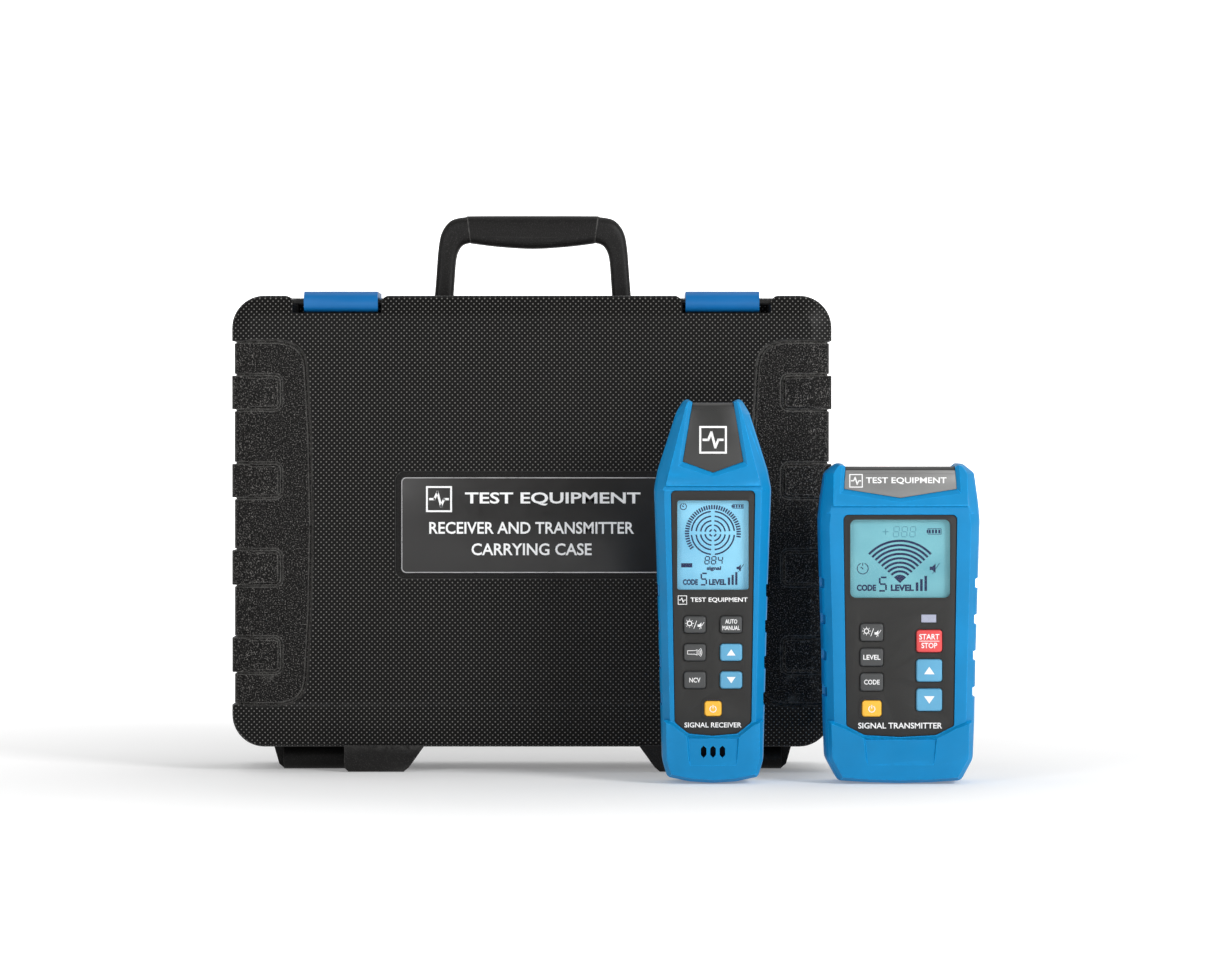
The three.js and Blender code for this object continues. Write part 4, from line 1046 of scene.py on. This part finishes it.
def legends(tool, name, flat, x, z):
    if name == "backlight":
        flat.lamp(x - 3.2, z + 0.8, 2.6)
        flat.rect(x + 0.2, z, 0.35, 5.0, -0.35)
        flat.mute(x + 3.5, z - 0.6, 1.9)
    elif name == "mode":
        flat.text("AUTO", x, z + 1.9, 7.2, 2.6, 0.016)
        flat.text("MANUAL", x, z - 1.9, 10.4, 2.6, 0.016)
    elif name == "torch":
        for dz in (-1.05, 1.05):
            flat.rect(x - 2.3, z + dz, 4.4, 0.35)
            flat.rect(x + 0.6, z + dz * 1.25, 1.6, 0.35, dz * 0.35)
        flat.rect(x - 4.35, z, 0.35, 2.4)
        flat.rect(x + 1.3, z, 0.35, 3.6)
        for i in range(3):
            flat.band(x + 0.2, z, 2.1 + i * 0.85, 2.45 + i * 0.85, -38, 38)
    elif name in ("voltage", "level", "code"):
        word = {"voltage": "NCV", "level": "LEVEL", "code": "CODE"}[name]
        flat.text(word, x, z, {"voltage": 6.6, "level": 10.2, "code": 9.3}[name], 2.9, 0.016)
    elif name == "start":
        flat.text("START", x, z + 2.6, 12.0, 3.3, 0.016)
        flat.rect(x, z, 12.0, 0.35)
        flat.text("STOP", x, z - 2.6, 9.4, 3.3, 0.016)
    elif name in ("up", "down"):
        big = 1.2 if tool["name"] == "transmitter" else 1.0
        flat.arrow(x, z, 5.2 * big, 3.7 * big, name == "up")
    else:
        flat.power(x, z - 0.2, 2.1)


def keep(node, material):
    obj = frame["nodes"][node]
    obj.data.materials.clear()
    obj.data.materials.append(M[material])


def build_tool(tool, face_cuts, front_cuts, cap_cuts):
    name, at, d = tool["name"], tool["at"], tool["depth"]
    unit = f"{name}_unit"

    def part(word, mesh, material, node, body=unit, paint=None):
        """A piece of this tool that stands in for one of the frame's parts."""
        slot = material if isinstance(material, str) else material[0]
        piece(f"{name}_{word}", mesh, at, body, material, (f"{name}_{node}",), slot, paint)

    # Faces on the cap's front below its top take the cap face material, which on the transmitter is a painted
    # reflection.
    def cap_paint(c):
        return 1 if c.y < 5 and c.z < tool["cap"][0] - 2.5 else 0

    fore, rear = covers(tool)
    fore = shaped(fore, *cuts(front_cuts))
    part("front_moulding", eased(fore, 0.35), "tool_blue", "front_cover")
    part("back_moulding", eased(rear, 0.35), "tool_blue", "back_cover")
    cap = eased(shaped(cap_moulding(tool), *cuts(cap_cuts)), 0.4)
    part("cap_moulding", cap, ("cap_grey", tool["cap_face"]), "nose_cap", paint=cap_paint)
    part("face_moulding", faceplate(tool, face_cuts), "panel_black", "faceplate")
    part("window_pane", eased(prism(around(*tool["window"]), 3.8, 5.3), 0.2), "clear_window", "window")
    for key, kx, kz, kw, kh, material in tool["keys"]:
        body = f"{name}_{key}_button"
        slot = "key_" + material.removesuffix("_key")
        piece(f"{name}_{key}_cap", key_cap(kw, kh), (at[0] + kx, at[1], kz), body, material, (f"{name}_key_{key}",),
              slot, smooth=50)
        print_on = Flat()
        legends(tool, key, print_on, kx, kz)
        print_on.make(f"{name}_{key}_legend", at, KEY_FRONT + 0.02, body)
    z0, z1 = tool["bay"]
    screw_at = (0, z0 - SCREW_BELOW_BAY)
    door = shaped(block(-15.65, 15.65, d - 2.3, d, z0 - 11, z1 + 2.2), ("-", rod("y", d - 1.8, d + 1, screw_at, 2.9)),
                  ("-", rod("y", d - 5, d, screw_at, 1.5)),
                  *cuts(block(-8, 8, d - 0.5, d + 1, z1 - 6 - i * 3.2, z1 - 4.6 - i * 3.2) for i in range(4)))
    part("door_moulding", eased(door, 0.3), "tool_blue", "battery_door", f"{name}_door_body")
    for node, material in (("display", f"lcd_{name}"), ("key_mat", "rubber"), ("circuit_board", "circuit_board"),
                           ("battery", "battery_wrap"), ("door_screw", "steel")):
        keep(f"{name}_{node}", material)


slots = []
for sx in (-5.6, 0, 5.6):
    sz, w, h = 19.4, 1.7, 3.7
    slots.append(prism([(sx, sz - h), (sx + w, sz - h + w), (sx + w, sz + h - w), (sx, sz + h), (sx - w, sz + h - w),
                        (sx - w, sz - h + w)], -2, 9))
torch_hole = rod("z", 210, 240, (0, 14), 4.3)
build_tool(RECEIVER, [], slots + [torch_hole], [torch_hole])
lamp_hole = block(12.3, 21.7, 0, 10, 96.0, 101.2)
socket_holes = [rod("z", 165, 200, (s * 9.5, 23), 5.8) for s in (-1, 1)]
build_tool(TRANSMITTER, [lamp_hole], [], socket_holes)

# Printing on the faceplates and caps.
for tool, words, z, width, height in ((RECEIVER, "SIGNAL RECEIVER", 35.2, 34, 3.0),
                                      (TRANSMITTER, "SIGNAL TRANSMITTER", 34.8, 50, 3.5)):
    flat = Flat()
    flat.text(words, 0, z, width, height, 0.016)
    if tool is RECEIVER:
        emblem(flat, -18.2, 109.6, 2.7)
        flat.text("TEST EQUIPMENT", 3.6, 109.6, 34, 3.1, 0.016)
    flat.make(f"{tool['name']}_face_print", tool["at"], PLATE_FRONT + 0.02, f"{tool['name']}_unit")


def cap_print(tool, flat):
    """Printing on a cap's front, which leans."""
    obj = flat.make(f"{tool['name']}_cap_print", tool["at"], 1.2, f"{tool['name']}_unit")
    z0 = tool["hood"][0][1][1] * MM
    for v in obj.data.vertices:
        v.co.y += tool["lean"] * (v.co.z - z0) - 0.01 * MM


badge = Flat()
emblem(badge, 0, 205, 8.2)
cap_print(RECEIVER, badge)
badge = Flat()
emblem(badge, -26.4, 180.6, 4.0)
badge.text("TEST EQUIPMENT", 3.5, 180.6, 48, 4.2, 0.016)
cap_print(TRANSMITTER, badge)

# Receiver display.
lcd = Flat()
for r in (2.0, 4.7, 7.3, 10.0, 12.8):
    for a in (0, 90, 180, 270):
        gap = 30 / r + 3
        lcd.band(0, 149.5, r - 0.45, r + 0.45, a + gap, a + 90 - gap)
for i in range(41):
    a = radians(215 - 223 * i / 40)
    lcd.rect(15.4 * cos(a), 149.5 + 15.4 * sin(a), 2.6, 0.95, a)
lcd.timer(-17.6, 165.2, 2.1)
lcd.battery(15.0, 165.4, 6.6, 2.7)
for i, n in enumerate((8, 8, 4)):
    lcd.digit(n, -3.4 + i * 3.9, 133.2, 2.5, 4.4, 0.65)
lcd.text("signal", 0.6, 128.2, 8.6, 3.0, 0.045)
lcd.rect(-15.6, 130.2, 6.6, 2.5)
lcd.mute(16.2, 128.6, 2.1)
lcd.text("CODE", -13.4, 120.2, 9.0, 3.5, 0.05)
lcd.digit(5, -5.4, 122.0, 3.4, 6.8, 0.9)
lcd.text("LEVEL", 2.8, 120.2, 10.2, 3.5, 0.05)
lcd.bars(9.6, 118.5, 7.8)
lcd.make("receiver_lcd_print", RECEIVER_AT, LCD_FRONT, "receiver_unit", "lcd_ink", 0.05)

# Transmitter display.
lcd = Flat()
lcd.band(0, 119.6, 0, 5.0, 43, 137)
for i in range(8):
    r = 7.0 + 2.6 * i
    lcd.band(0, 119.6, r - 0.65, r + 0.7, 43, 137, 24)
lcd.battery(20.6, 150.4, 8.2, 3.6)
lcd.timer(-22.2, 128.3, 3.5)
lcd.mute(20.6, 128.4, 2.9)
lcd.text("CODE", -20.0, 116.8, 11.6, 3.9, 0.05)
lcd.digit(5, -10.2, 119.0, 4.2, 8.0, 1.05)
lcd.text("LEVEL", 1.4, 116.8, 13.8, 3.9, 0.05)
lcd.bars(10.2, 114.9, 9.2)
lcd.make("transmitter_lcd_print", TRANSMITTER_AT, LCD_FRONT, "transmitter_unit", "lcd_ink", 0.05)
ghost = Flat()
for i in range(3):
    ghost.digit(8, -2.2 + i * 4.9, 150.2, 3.2, 6.0, 0.55)
ghost.rect(-8.6, 150.2, 3.6, 0.6)
ghost.rect(-8.6, 150.2, 0.6, 3.6)
ghost.make("transmitter_lcd_ghost", TRANSMITTER_AT, LCD_FRONT, "transmitter_unit", "lcd_ghost")

for node, material in (
    ("case_inner_tray", "case_lining"), ("case_front_liner", "case_lining"), ("receiver_torch_lens", "clear_window"),
    ("receiver_speaker", "rubber"), ("receiver_ferrite_rod", "ferrite"), ("receiver_antenna_coil", "copper_wire"),
    ("transmitter_buzzer", "rubber"), ("transmitter_status_lamp", "lamp"),
    ("transmitter_socket_signal", "socket_red"), ("transmitter_socket_ground", "socket_black"),
):
    keep(node, material)
for word, _ in SIDES:
    keep(f"latch_pin_{word}", "case_plain")
    keep(f"hinge_pin_{word}", "steel")
    keep(f"handle_pin_{word}", "steel")
